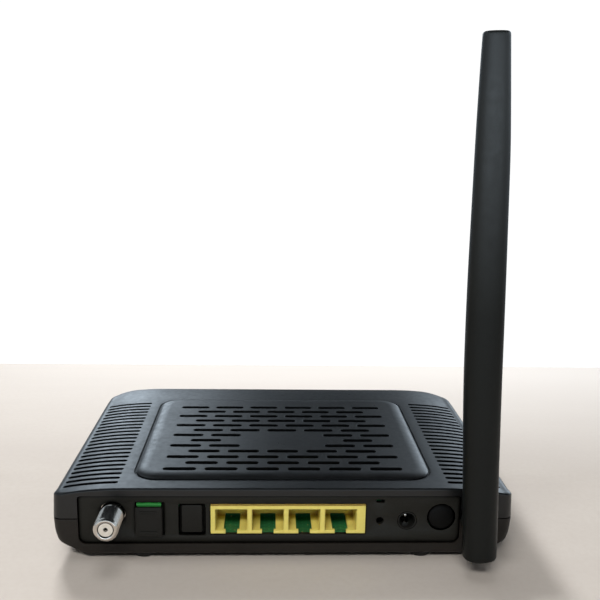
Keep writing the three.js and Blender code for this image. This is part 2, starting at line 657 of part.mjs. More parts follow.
// ---------------------------------------------------------------- board components
function heatsink() {
  const x0 = -14;
  const fins = 7;
  const pitch = 4.5;
  const finWidth = 1.2;
  const finEnd = (i) => x0 + i * pitch + finWidth;
  const body = [box(x0, finEnd(fins - 1), 50, 78, 11.4, 13.2)];
  for (let i = 0; i < fins; i++) {
    body.push(box(x0 + i * pitch, finEnd(i), 50, 78, 13, 20.5));
  }
  return join(...body);
}
function capacitor(place, radius, rimRadius, top, segments) {
  const profile = [
    [0, PCB_Z1], [radius, PCB_Z1], [radius, top - 0.6], [rimRadius, top], [0, top],
  ];
  return turned(profile, 'z', place, segments);
}
function addBoardComponents() {
  add('processor_chip', box(-8, 8, 56, 72, PCB_Z1, 11.4), FINISH.chip);
  add('processor_heatsink', heatsink(), FINISH.heatsink);
  add('memory_chip', box(-7, 7, 84, 92, PCB_Z1, 11.2), FINISH.chip);
  add('radio_shield_can', shieldCan(34, 66, 58, 84, 13.4), FINISH.shieldCan);
  add('capacitor_inlet', capacitor([45, 27], 4, 3.6, 21, 16), FINISH.capacitor);
  add('capacitor_regulator', capacitor([36, 27], 3.15, 2.8, 18, 14), FINISH.capacitor);
  add('inductor', prism(rectShape(36, 43, 36, 43, 1.6), 'z', PCB_Z1, 13.6), FINISH.inductor);
}

// ---------------------------------------------------------------- indicator light guide
function lightGuide() {
  return join(box(-38, 38, 118.6, 121, LED_Z - 1.8, LED_Z + 1.8),
    ...LEDS.map((x) => rod('y', [x, LED_Z], 0.7, 120.5, CASE_D - 0.1, 8)));
}

// ---------------------------------------------------------------- antenna lead in the case
function antennaLead() {
  const path = [
    [ANT_X, 8.7, ANT_Z], [ANT_X, 12, 16.6], [71.2, 17, 14], [70.6, 26, 11.6],
    [70.4, 40, 11.2], [70.2, 54, 11.2], [69.4, 66, 11.4], [67, 70.6, 11.3],
  ];
  return cable(path, 0.55, 20, 5);
}

// ---------------------------------------------------------------- antenna
// Own frame: swivel axis through the origin along Y, blade upright along Z.
const ANT_LEAN = -2;           // degrees about Y: the blade leans towards -X
const FOLD_AXIS = [FOLD_Y, 0];
const PIN_HOLE_R = 1.6;

// columns: height above the pin, left edge, right edge, half thickness
const BLADE = [
  [-9.4, -5.8, 5.75, 4.9], [-8.6, -6.3, 6.25, 5.35], [5, -6.45, 6.25, 5.4],
  [20, -6.85, 6.05, 5.3], [40, -7.3, 5.95, 5.1], [60, -7.6, 5.9, 4.9],
  [80, -7.5, 5.95, 4.6], [100, -7.15, 5.95, 4.4], [120, -6.6, 5.9, 4.2],
  [140, -6.05, 5.8, 4.0], [155, -5.55, 5.35, 3.8], [172, -4.85, 4.7, 3.6],
  [176.9, -4.6, 4.5, 3.5], [177.9, -4.05, 4.05, 3.1],
];
const BLADE_HOLLOW = [
  [9, -4.3, 4.0, 3.0], [60, -5.4, 3.9, 2.9], [120, -4.6, 4.1, 2.4], [168, -3.2, 3.2, 1.9],
];

// hub disc and barrel, with a tongue reaching back to the fold pin
function antennaHub() {
  const tongueEndR = 3.2;
  const tongue = new THREE.Shape();
  tongue.moveTo(-1.2, -2.9);
  tongue.lineTo(-1.2, 2.9);
  tongue.lineTo(FOLD_Y, tongueEndR);
  tongue.absarc(FOLD_Y, 0, tongueEndR, Math.PI / 2, 1.5 * Math.PI, false);
  tongue.closePath();
  const profile = [
    [0, -1.9], [4.3, -1.9], [4.5, -1.7], [4.5, -0.5], [HUB_R, -0.5], [HUB_R, 3.1],
    [4.9, 3.1], [4.9, 4.05], [HUB_R, 4.05], [HUB_R, 7.2], [2.9, 8.0], [0, 8.0],
  ];
  return cut(
    join(turned(profile, 'y', [0, 0], 16), prism(tongue, 'x', -2.5, 2.5, 6)),
    rod('x', FOLD_AXIS, PIN_HOLE_R, -4, 4, 14));
}

// rounded section, slightly fuller than an ellipse
function bladeRing([z, left, right, halfThick]) {
  const points = 16;
  const swell = (value, power) => Math.sign(value) * Math.pow(Math.abs(value), power);
  return Array.from({ length: points }, (_, i) => {
    const angle = (2 * Math.PI * (i + 0.5)) / points;
    return [
      (left + right) / 2 + ((right - left) / 2) * swell(Math.cos(angle), 0.85),
      FOLD_Y + halfThick * swell(Math.sin(angle), 0.9),
      z,
    ];
  });
}
function antennaBlade() {
  // bevel across the foot of the blade, on the case side
  const footBevel = polyShape([
    [FOLD_Y + 2.1, -9.6], [FOLD_Y + 6.2, -9.6], [FOLD_Y + 6.2, -5.4],
  ]);
  return cut(skin(BLADE.map(bladeRing)),
    box(-2.85, 2.85, FOLD_Y - 3.6, FOLD_Y + 7, -11, 3.8),   // slot for the tongue
    rod('z', [0, FOLD_Y + 0.4], 1.0, 3, 10, 8),             // passage from slot to hollow
    rod('x', FOLD_AXIS, PIN_HOLE_R, -5.3, 5.3, 14),
    prism(footBevel, 'x', -9, 9),
    skin(BLADE_HOLLOW.map(bladeRing)));
}

function addAntenna() {
  const antenna = new THREE.Group();
  antenna.position.set(ANT_X, 0, ANT_Z);
  antenna.rotation.y = degToRad(ANT_LEAN);
  model.add(antenna);
  const radiator = box(-3.0, 2.4, FOLD_Y - 0.4, FOLD_Y + 0.4, 30, 150);
  add('antenna_hub', antennaHub(), FINISH.antennaPlastic, antenna);
  add('antenna_pin', rod('x', FOLD_AXIS, 1.4, -5, 5, 14), FINISH.dullNickel, antenna);
  add('antenna_blade', antennaBlade(), FINISH.antennaPlastic, antenna);
  add('antenna_radiator', radiator, FINISH.radiator, antenna);
  add('antenna_coax', rod('z', [0, FOLD_Y], 0.6, 5, 29.6, 8), FINISH.cable, antenna);
}

// ---------------------------------------------------------------- putting it together
add('top_cover', topCover(), FINISH.topCover);
add('bottom_case', bottomCase(), FINISH.bottomCase);
add('rear_panel', rearPanel(), FINISH.panel);
for (const place of FEET) add(`foot_${cornerName(...place)}`, foot(place), FINISH.rubber);
for (const place of POSTS) {
  add(`case_screw_${cornerName(...place)}`, caseScrew(place), FINISH.screw);
}
add('main_board', mainBoard(), FINISH.board);
for (const place of BOARD_SCREWS) {
  add(`board_screw_${sideName(place[0])}`, boardScrew(place), FINISH.screw);
}
addCoaxConnector();
add('tuner_shield_can', shieldCan(-78, -57, 38, 66, 16.5), FINISH.shieldCan);
addOpticalPort();
add('phone_port_blank', phonePortBlank(), FINISH.portBlank);
addNetworkJack();
addReset();
addPowerInlet();
addPowerSwitch();
addBoardComponents();
add('indicator_light_guide', lightGuide(), FINISH.lightGuide);
add('antenna_lead', antennaLead(), FINISH.cable);
addAntenna();

// middle in Y between the case front and the thickest part of the blade
const bladeHalfThick = Math.max(...BLADE.map(([, , , halfThick]) => halfThick));
model.position.y = -(CASE_D + FOLD_Y - bladeHalfThick) / 2;

export default model;
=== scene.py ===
# Desktop cable modem with a folding antenna: meshes, materials, table top, lights and camera.
# Pieces are drawn in millimetres, with the rear face at y = 0, the front towards +Y and Z up.
# Left and right are as seen from behind, where the connectors are: right is +X.
# Meshes are written in metres and moved back so that y = MID_Y lands on the origin.
import math
import bpy
import bmesh
import numpy as np
from mathutils import Vector, Matrix

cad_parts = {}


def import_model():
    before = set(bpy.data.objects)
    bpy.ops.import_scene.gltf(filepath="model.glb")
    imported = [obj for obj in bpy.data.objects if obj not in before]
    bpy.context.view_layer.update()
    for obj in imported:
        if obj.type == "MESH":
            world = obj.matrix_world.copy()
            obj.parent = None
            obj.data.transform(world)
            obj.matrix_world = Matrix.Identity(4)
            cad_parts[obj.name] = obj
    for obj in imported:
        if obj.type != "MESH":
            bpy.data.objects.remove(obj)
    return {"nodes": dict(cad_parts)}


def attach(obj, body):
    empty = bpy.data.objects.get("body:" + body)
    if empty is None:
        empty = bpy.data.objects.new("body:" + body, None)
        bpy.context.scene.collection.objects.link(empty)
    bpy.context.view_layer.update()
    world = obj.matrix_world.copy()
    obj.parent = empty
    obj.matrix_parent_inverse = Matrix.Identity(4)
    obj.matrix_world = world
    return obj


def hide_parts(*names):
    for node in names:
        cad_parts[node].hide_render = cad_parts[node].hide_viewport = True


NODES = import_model()["nodes"]
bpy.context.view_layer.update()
MILLI = 0.001
BIG = 100               # booleans run at this many times size, where their tolerance suits the shapes

# ------------------------------------------------------------------ driving dimensions
CASE_HALF, CASE_DEPTH = 88.2, 124.0
DRAFT = 0.4             # how far the cover's sides and front lean in
MID_Y = 53.3
SEAM_Z, SEAM_GAP = 17.0, 0.12
COVER_SEAM, BASE_SEAM = SEAM_Z + SEAM_GAP, SEAM_Z - SEAM_GAP
CROWN_Z = 29.35         # top of the cover around the raised area
WALL, ROOF = 2.1, 2.2
REAR_RADIUS, FRONT_RADIUS = 3.5, 13.0

RAISED_HALF, RAISED_REAR, RAISED_FRONT = 58.3, 8.4, 100.2     # raised area of the lid
RAISED_RISE, RAISED_RADIUS = 1.25, 9
RAISED_Z = CROWN_Z + RAISED_RISE

PANEL_LEFT, PANEL_RIGHT, PANEL_LOW, PANEL_HIGH = -77.8, 67.8, 6.9, 26.1
PANEL_GAP = 0.25
PANEL_SEAT = 3.09       # depth of the opening the panel sits in

# Places on the rear face, as (x, z) or x alone
COAX = (-65.2, 18.7)
COAX_TIP = -12.0        # y of the barrel's free end
COAX_BORE = 2.95
OPTIC_X, BLANK_X = -51.25, -35.05
OPTIC_Z = 16.0
LAN_LEFT, LAN_RIGHT, LAN_LOW, LAN_HIGH = -28.0, 31.4, 10.3, 22.4
LAN_PORTS = [-20.1 + 14.0 * i for i in range(4)]
CONTACTS, CONTACT_PITCH = 8, 1.02
RESET = (37.0, 15.7)
INLET = (47.6, 15.7)
POWER = (60.8, 17.1)
POWER_RADIUS = 5.2
ANTENNA = (72.5, 17.0)

FOLD_Y = -12.0          # the antenna folds about an X axis here
FOLD_BORE = 1.6
LEAN = math.radians(-2.0)
HUB_RADIUS = 3.6

# Places in plan, as (x, y)
POSTS = [(x, y) for y in (30, 105) for x in (-61, 61)]
FEET = [(x, y) for y in (6.4, 97) for x in (-53.8, 53.8)]
LEDS = range(-35, 36, 10)
LED_Z = 20.6
BOARD_TOP = 10.0


def place_name(x, y):
    return ("rear" if y < 50 else "front") + "_" + ("left" if x < 0 else "right")


# ------------------------------------------------------------------ outlines
def clamp01(value):
    return min(max(value, 0.0), 1.0)


def lerp(start, end, share):
    return start + (end - start) * share


def quarter_turn(steps):
    return [0.5 * math.pi * i / steps for i in range(steps + 1)]


def circle(across, up, radius, count=36):
    return [(across + radius * math.cos(2 * math.pi * i / count),
             up + radius * math.sin(2 * math.pi * i / count)) for i in range(count)]


def rounded_rect(x0, x1, y0, y1, radii, steps):
    """radii is one radius or four, from the lower left corner anticlockwise."""
    if not isinstance(radii, list):
        radii = [radii] * 4
    corners = [(x0, y0, math.pi), (x1, y0, 1.5 * math.pi), (x1, y1, 0.0), (x0, y1, 0.5 * math.pi)]
    points = []
    for (x, y, start), radius in zip(corners, radii):
        if radius <= 1e-6:
            points.append((x, y))
            continue
        centre_x = x + radius if x == x0 else x - radius
        centre_y = y + radius if y == y0 else y - radius
        points += [(centre_x + radius * math.cos(start + turn),
                    centre_y + radius * math.sin(start + turn)) for turn in quarter_turn(steps)]
    return points


def stadium(x, y, half_length, half_width, steps=6, side_steps=1, grow=0.0):
    """slot outline along X."""
    reach = half_length - half_width
    radius = half_width + grow
    points = []
    for side, start in ((1, -0.5 * math.pi), (-1, 0.5 * math.pi)):
        for i in range(steps + 1):
            angle = start + math.pi * i / steps
            points.append((x + side * reach + radius * math.cos(angle),
                           y + radius * math.sin(angle)))
        for i in range(1, side_steps):
            points.append((x + side * (reach - 2 * reach * i / side_steps), y + side * radius))
    return points


def keyhole(x, y, grow):
    """round opening with a neck towards the front of the case."""
    radius, neck, top = 3.6 + grow, 1.8 + grow, y + 9 + grow
    half_gap = math.asin(neck / radius)
    points = []
    for i in range(31):
        angle = 0.5 * math.pi + half_gap + (2 * math.pi - 2 * half_gap) * i / 30
        points.append((x + radius * math.cos(angle), y + radius * math.sin(angle)))
    for i in range(9):
        angle = math.pi * i / 8
        points.append((x + neck * math.cos(angle), top - neck + neck * math.sin(angle)))
    return points


def octagon(wide, low, narrow, high):
    """rectangle with cut corners about the origin."""
    return [(-wide, -low), (-narrow, -high), (narrow, -high), (wide, -low),
            (wide, low), (narrow, high), (-narrow, high), (-wide, low)]


# ------------------------------------------------------------------ solids: (vertices, faces) in mm
def outward(verts, faces):
    """turns all the faces over if the solid is inside out."""
    points = np.asarray(verts, float)
    volume = 0.0
    for face in faces:
        first = points[face[0]]
        for i in range(1, len(face) - 1):
            volume += float(np.dot(first, np.cross(points[face[i]], points[face[i + 1]])))
    return (verts, [list(reversed(face)) for face in faces]) if volume < 0 else (verts, faces)


def skin(count, pairs):
    """quads between pairs of rings of count points."""
    return [[low * count + i, low * count + j, high * count + j, high * count + i]
            for low, high in pairs for i in range(count) for j in [(i + 1) % count]]


def flatten(rings):
    return [tuple(point) for ring in rings for point in ring]


def loft(rings):
    """solid through a stack of rings, with flat ends."""
    count, last = len(rings[0]), len(rings) - 1
    faces = skin(count, [(k, k + 1) for k in range(last)])
    faces.append(list(reversed(range(count))))
    faces.append([last * count + i for i in range(count)])
    return outward(flatten(rings), faces)


def tube_loft(rings):
    """solid whose last ring joins its first, such as a turned ring."""
    total = len(rings)
    return outward(flatten(rings), skin(len(rings[0]), [(k, (k + 1) % total) for k in range(total)]))


def place(axis, across, up, along):
    """point from its two crosswise coordinates and its station along the axis."""
    if axis == "z":
        return (across, up, along)
    if axis == "y":
        return (across, along, up)
    return (along, across, up)


def prism(points, axis, low, high):
    return loft([[place(axis, *point, along) for point in points] for along in (low, high)])


def box(x0, x1, y0, y1, z0, z1):
    return prism([(x0, y0), (x1, y0), (x1, y1), (x0, y1)], "z", z0, z1)


def rod(axis, across, up, radius, low, high, count=32):
    return prism(circle(across, up, radius, count), axis, low, high)


def soft_block(x0, x1, z0, z1, radius, low, high, ease, steps):
    """rounded rectangle pushed along Y, with the edges of both ends eased over."""
    eased = [(ease * (1 - math.cos(turn)), ease * (1 - math.sin(turn))) for turn in quarter_turn(3)]
    stations = [(low + run, inset) for run, inset in eased]
    stations += [(high - run, inset) for run, inset in reversed(eased)]
    rings = []
    for along, inset in stations:
        outline = rounded_rect(x0 + inset, x1 - inset, z0 + inset, z1 - inset,
                               max(radius - inset, 0.02), steps)
        rings.append([place("y", *point, along) for point in outline])
    return loft(rings)


def turned(profile, axis, across, up, count=48):
    """turns a profile of (radius, station) about an axis; it is closed on the axis
    if it starts at zero radius, and is otherwise a closed loop."""
    def ring(radius, along):
        return [place(axis, *point, along) for point in circle(across, up, radius, count)]

    if profile[0][0] > 1e-9:
        return tube_loft([ring(*station) for station in profile])
    rings = [ring(*station) for station in profile[1:-1]]
    last = len(rings) - 1
    verts = flatten(rings)
    faces = skin(count, [(k, k + 1) for k in range(last)])
    for end, k in ((profile[0], 0), (profile[-1], last)):
        tip = len(verts)
        verts.append(place(axis, across, up, end[1]))
        for i in range(count):
            j = (i + 1) % count
            if k == 0:
                faces.append([k * count + j, k * count + i, tip])
            else:
                faces.append([k * count + i, k * count + j, tip])
    return outward(verts, faces)


def eased_start(radius, along, ease):
    """profile points that round the first edge of a turned piece."""
    return [(radius - ease * (1 - math.sin(turn)), along + ease * (1 - math.cos(turn)))
            for turn in quarter_turn(4)]


def merge(*solids):
    verts, faces = [], []
    for more_verts, more_faces in solids:
        start = len(verts)
        verts += list(more_verts)
        faces += [[i + start for i in face] for face in more_faces]
    return verts, faces


def each(places, shape):
    return merge(*[shape(*spot) for spot in places])


def each_port(shape):
    return merge(*[shape(x) for x in LAN_PORTS])


# ------------------------------------------------------------------ Blender objects
COLLECTION = bpy.context.scene.collection
SHIFT = Matrix.Translation((0, -MID_Y * MILLI, 0))
SOLVERS = bpy.types.BooleanModifier.bl_rna.properties["solver"].enum_items
SOLVER = "MANIFOLD" if "MANIFOLD" in [item.identifier for item in SOLVERS] else "EXACT"


def to_object(name, solid, scale=MILLI):
    verts, faces = solid
    mesh = bpy.data.meshes.new(name)
    mesh.from_pydata([(x * scale, y * scale, z * scale) for x, y, z in verts], [], faces)
    mesh.validate()
    mesh.update()
    piece = bpy.data.objects.new(name, mesh)
    COLLECTION.objects.link(piece)
    return piece


def bake(piece):
    """applies the modifiers."""
    depsgraph = bpy.context.evaluated_depsgraph_get()
    depsgraph.update()
    mesh = bpy.data.meshes.new_from_object(piece.evaluated_get(depsgraph))
    piece.modifiers.clear()
    old = piece.data
    piece.data = mesh
    mesh.name = piece.name
    bpy.data.meshes.remove(old)


def apply_tool(piece, operation, tool):
    modifier = piece.modifiers.new("b", "BOOLEAN")
    modifier.operation = operation
    modifier.solver = SOLVER
    modifier.object = tool
    bpy.context.view_layer.update()
    bake(piece)
    bpy.data.objects.remove(tool)


def boolean(piece, operation, *solids):
    """applies each solid in turn; a solid may hold several bodies that don't touch."""
    for solid in solids:
        apply_tool(piece, operation, to_object("tool", solid, MILLI * BIG))


def solid_object(name, solid, joins=(), cuts=()):
    piece = to_object(name, solid, MILLI * BIG)
    boolean(piece, "UNION", *joins)
    boolean(piece, "DIFFERENCE", *cuts)
    piece.data.transform(Matrix.Scale(1 / BIG, 4))
    cleaner = bmesh.new()
    cleaner.from_mesh(piece.data)
    bmesh.ops.remove_doubles(cleaner, verts=cleaner.verts, dist=2e-6)
    bmesh.ops.dissolve_degenerate(cleaner, dist=1e-6, edges=cleaner.edges)
    cleaner.to_mesh(piece.data)
    cleaner.free()
    return piece


def add_bevel(piece, width, angle):
    modifier = piece.modifiers.new("ease", "BEVEL")
    modifier.width = width * MILLI
    modifier.segments = 2
    modifier.limit_method = "ANGLE"
    modifier.angle_limit = math.radians(angle)
    modifier.use_clamp_overlap = True
    return modifier


def finish_piece(piece, material, node, body="case", slot=None, angle=30, matrix=None):
    if matrix is not None:
        piece.data.transform(matrix)
    piece.data.transform(SHIFT)
    piece.data.shade_smooth()
    piece.data.set_sharp_from_angle(angle=math.radians(angle))
    piece.data.materials.clear()
    piece.data.materials.append(MATERIALS[material])
    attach(piece, body)
    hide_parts(node)


def make_piece(name, material, node, solid, joins=(), cuts=(), **finish):
    finish_piece(solid_object(name, solid, joins, cuts), material, node, **finish)


# ------------------------------------------------------------------ shader nodes
def srgb(*channels):
    linear = []
    for channel in channels:
        share = channel / 255.0
        linear.append(share / 12.92 if share <= 0.04045 else ((share + 0.055) / 1.055) ** 2.4)
    return (*linear, 1.0)


def tint(colour, factor):
    return (*[min(channel * factor, 1) for channel in colour[:3]], 1.0)


class NodeTree:
    def __init__(self, tree):
        self.tree = tree

    def add(self, kind, **properties):
        node = self.tree.nodes.new(kind)
        for key, value in properties.items():
            setattr(node, key, value)
        return node

    def put(self, socket, value):
        """links a socket or sets a plain value."""
        if isinstance(value, bpy.types.NodeSocket):
            self.tree.links.new(value, socket)
        else:
            socket.default_value = value

    def ramp(self, value, span=(0.3, 0.7), to=(0.0, 1.0)):
        """maps span onto to, clamped; the default span is where most of a noise lies."""
        node = self.add("ShaderNodeMapRange")
        node.clamp = True
        self.put(node.inputs["Value"], value)
        node.inputs["From Min"].default_value, node.inputs["From Max"].default_value = span
        node.inputs["To Min"].default_value, node.inputs["To Max"].default_value = to
        return node.outputs["Result"]

    def math(self, operation, first, second):
        node = self.add("ShaderNodeMath", operation=operation)
        self.put(node.inputs[0], first)
        self.put(node.inputs[1], second)
        return node.outputs[0]

    def mix(self, factor, first, second, **properties):
        node = self.add("ShaderNodeMix", data_type="RGBA", **properties)
        self.put(node.inputs["Factor"], factor)
        colours = [socket for socket in node.inputs if socket.type == "RGBA"]
        self.put(colours[0], first)
        self.put(colours[1], second)
        return [socket for socket in node.outputs if socket.type == "RGBA"][0]

    def split(self, vector):
        node = self.add("ShaderNodeSeparateXYZ")
        self.put(node.inputs[0], vector)
        return node.outputs


class Material(NodeTree):
    def __init__(self, name):
        self.material = bpy.data.materials.new(name)
        self.material.use_nodes = True
        super().__init__(self.material.node_tree)
        self.surface = self.tree.nodes["Principled BSDF"].inputs
        self.point = self.add("ShaderNodeTexCoord").outputs["Object"]

    def set(self, name, value):
        self.put(self.surface[name], value)

    def noise(self, scale, detail=4.0, rough=0.55, point=None):
        node = self.add("ShaderNodeTexNoise")
        self.put(node.inputs["Vector"], point or self.point)
        node.inputs["Scale"].default_value = scale
        node.inputs["Detail"].default_value = detail
        node.inputs["Roughness"].default_value = rough
        return node.outputs["Fac"]

    def stretched(self, factors):
        node = self.add("ShaderNodeVectorMath", operation="MULTIPLY")
        self.put(node.inputs[0], self.point)
        node.inputs[1].default_value = factors
        return node.outputs[0]

    def bump(self, height, strength, distance, normal=None):
        node = self.add("ShaderNodeBump")
        self.put(node.inputs["Height"], height)
        node.inputs["Strength"].default_value = strength
        node.inputs["Distance"].default_value = distance
        if normal is not None:
            self.put(node.inputs["Normal"], normal)
        return node.outputs["Normal"]

    def edges(self, radius):
        """0 on flats, 1 on edges."""
        bevel = self.add("ShaderNodeBevel", samples=4)
        bevel.inputs["Radius"].default_value = radius
        geometry = self.add("ShaderNodeNewGeometry")
        dot = self.add("ShaderNodeVectorMath", operation="DOT_PRODUCT")
        self.put(dot.inputs[0], bevel.outputs["Normal"])
        self.put(dot.inputs[1], geometry.outputs["Normal"])
        return self.ramp(dot.outputs["Value"], span=(0.995, 0.86))

    def openness(self, distance, span):
        """0 in crevices, 1 in the open; the mask for painted shade in crevices."""
        occlusion = self.add("ShaderNodeAmbientOcclusion", samples=6)
        occlusion.inputs["Distance"].default_value = distance
        return self.ramp(occlusion.outputs["AO"], span=span)


# ------------------------------------------------------------------ materials (lengths in metres)
def plastic(name, base, rough, grain, bump, vary, wear, spec, dust=0.0, wear_colour=None,
            crevice=0.0, deep=None, reach=(0.40, 0.88), sheen=None):
    """moulded plastic with fine grain, pale worn edges, dust on top and painted shade in crevices.
    The shade arguments give how far crevices are felt, the painted shade's colour, and reach, the
    openness it fades over;
    the sheen argument is (low z, high z, specular at high z) and paints a highlight that grows
    towards the top."""
    mat = Material(name)
    big = mat.noise(scale=38.0, detail=3.0)
    mid = mat.noise(scale=420.0, detail=4.0, rough=0.6)
    fine = mat.noise(scale=grain, detail=2.0, rough=0.5)
    colour = mat.mix(mat.ramp(big), tint(base, 1 - vary), tint(base, 1 + vary))
    colour = mat.mix(mat.ramp(fine, span=(0.35, 0.75), to=(0.0, 0.35)), colour, tint(base, 1.6))
    roughness = mat.math("ADD", mat.ramp(mid, to=(rough - 0.05, rough + 0.05)),
                         mat.ramp(big, to=(-0.025, 0.025)))
    if wear > 0:
        worn = mat.math("MULTIPLY", mat.edges(radius=0.0005),
                        mat.ramp(mid, span=(0.38, 0.62), to=(0.15, wear)))
        colour = mat.mix(worn, colour, wear_colour or tint(base, 3.2))
        roughness = mat.math("ADD", roughness, mat.math("MULTIPLY", worn, 0.12))
    if dust > 0:
        normal = mat.add("ShaderNodeNewGeometry").outputs["Normal"]
        upward = mat.ramp(mat.split(normal)["Z"], span=(0.75, 1.0), to=(0.0, dust))
        speck = mat.ramp(mat.noise(scale=1500.0, detail=3.0, rough=0.7), span=(0.62, 0.74))
        smear = mat.ramp(mat.noise(scale=70.0, detail=5.0, rough=0.65),
                         span=(0.45, 0.75), to=(0.0, 0.5))
        amount = mat.math("MULTIPLY", upward, mat.math("MAXIMUM", speck, smear))
        colour = mat.mix(amount, colour, srgb(150, 150, 146))
    # Painted shade: crevices are darkened towards the shade colour and reflect less, standing in for
    # the shade that falls in them
    if crevice > 0:
        openness = mat.openness(crevice, reach)
        colour = mat.mix(openness, deep or tint(base, 0.04), colour)
        mat.set("Specular IOR Level", mat.math("MULTIPLY", openness, spec))
    else:
        mat.set("Specular IOR Level", spec)
    # Painted highlight: the specular level rises with height, so the upper part looks more brightly
    # lit
    if sheen:
        low, high, top_spec = sheen
        height = mat.split(mat.point)["Z"]
        mat.set("Specular IOR Level", mat.ramp(height, span=(low, high), to=(spec, top_spec)))
    mat.set("Base Color", colour)
    mat.set("Roughness", roughness)
    normal = mat.bump(fine, strength=bump, distance=0.00004)
    mat.set("Normal", mat.bump(mid, strength=bump * 0.35, distance=0.00012, normal=normal))
    return mat.material


def metal(name, base, rough, brush, scratch, wear, bump, crevice=0.0):
    """metal with brushed streaks and optional painted shade in crevices; brush stretches the streak
    noise in x, y and z.
    """
    mat = Material(name)
    streak = mat.noise(scale=900.0, detail=3.0, rough=0.6, point=mat.stretched(brush))
    cloud = mat.noise(scale=120.0, detail=4.0, rough=0.6)
    colour = mat.mix(mat.ramp(cloud, span=(0.35, 0.7)), tint(base, 0.9), base)
    scratches = mat.math("MULTIPLY", mat.ramp(streak, span=(0.45, 0.8)), scratch)
    colour = mat.mix(scratches, colour, tint(base, 0.55))
    worn = mat.math("MULTIPLY", mat.edges(radius=0.0003), wear)
    colour = mat.mix(worn, colour, tint(base, 1.2))
    # Painted shade: crevices are darkened nearly to black
    if crevice > 0:
        colour = mat.mix(mat.openness(crevice, span=(0.25, 0.8)), tint(base, 0.02), colour)
    mat.set("Base Color", colour)
    mat.set("Metallic", 1.0)
    mat.set("Roughness", mat.math("ADD", mat.ramp(streak, to=(rough - 0.07, rough + 0.07)),
                                  mat.ramp(cloud, to=(-0.05, 0.06))))
    mat.set("Normal", mat.bump(streak, strength=bump, distance=0.00003))
    return mat.material


def board_material(name):
    """green circuit board with brick-like tracks and pale round vias."""
    mat = Material(name)
    brick = mat.add("ShaderNodeTexBrick")
    mat.put(brick.inputs["Vector"], mat.point)
    brick.inputs["Scale"].default_value = 240.0
    brick.inputs["Mortar Size"].default_value = 0.05
    brick.inputs["Brick Width"].default_value = 0.9
    brick.inputs["Row Height"].default_value = 0.28
    cells = mat.add("ShaderNodeTexVoronoi", feature="F1")
    mat.put(cells.inputs["Vector"], mat.point)
    cells.inputs["Scale"].default_value = 320.0
    via = mat.ramp(cells.outputs["Distance"], span=(0.10, 0.07))
    soil = mat.noise(scale=60.0, detail=4.0)
    tracks = brick.outputs["Fac"]
    colour = mat.mix(mat.ramp(tracks, span=(0.2, 0.8)), srgb(22, 96, 60), srgb(52, 150, 92))
    colour = mat.mix(mat.ramp(soil, span=(0.35, 0.7), to=(0.0, 0.6)), colour, srgb(18, 84, 52))
    mat.set("Base Color", mat.mix(via, colour, srgb(196, 168, 96)))
    mat.set("Roughness", mat.ramp(soil, to=(0.28, 0.42)))
    mat.set("Normal", mat.bump(tracks, strength=0.4, distance=0.00003))
    return mat.material


def clear_material(name):
    mat = Material(name)
    mat.set("Base Color", (0.9, 0.95, 0.96, 1))
    mat.set("Transmission Weight", 0.7)
    mat.set("IOR", 1.49)
    mat.set("Roughness", mat.ramp(mat.noise(scale=500.0), to=(0.12, 0.3)))
    mat.set("Normal", mat.bump(mat.noise(scale=900.0), strength=0.1, distance=0.00003))
    return mat.material


def capacitor_material(name, top_z):
    """dark sleeve with bare metal above top_z."""
    mat = Material(name)
    top = mat.ramp(mat.split(mat.point)["Z"], span=(top_z, top_z + 0.00005))
    grain = mat.noise(scale=800.0)
    sleeve = mat.mix(mat.ramp(grain), srgb(34, 36, 52), srgb(44, 48, 68))
    mat.set("Base Color", mat.mix(top, sleeve, srgb(170, 172, 172)))
    mat.set("Metallic", top)
    mat.set("Roughness", mat.ramp(grain, to=(0.3, 0.42)))
    mat.set("Normal", mat.bump(grain, strength=0.15, distance=0.00004))
    return mat.material


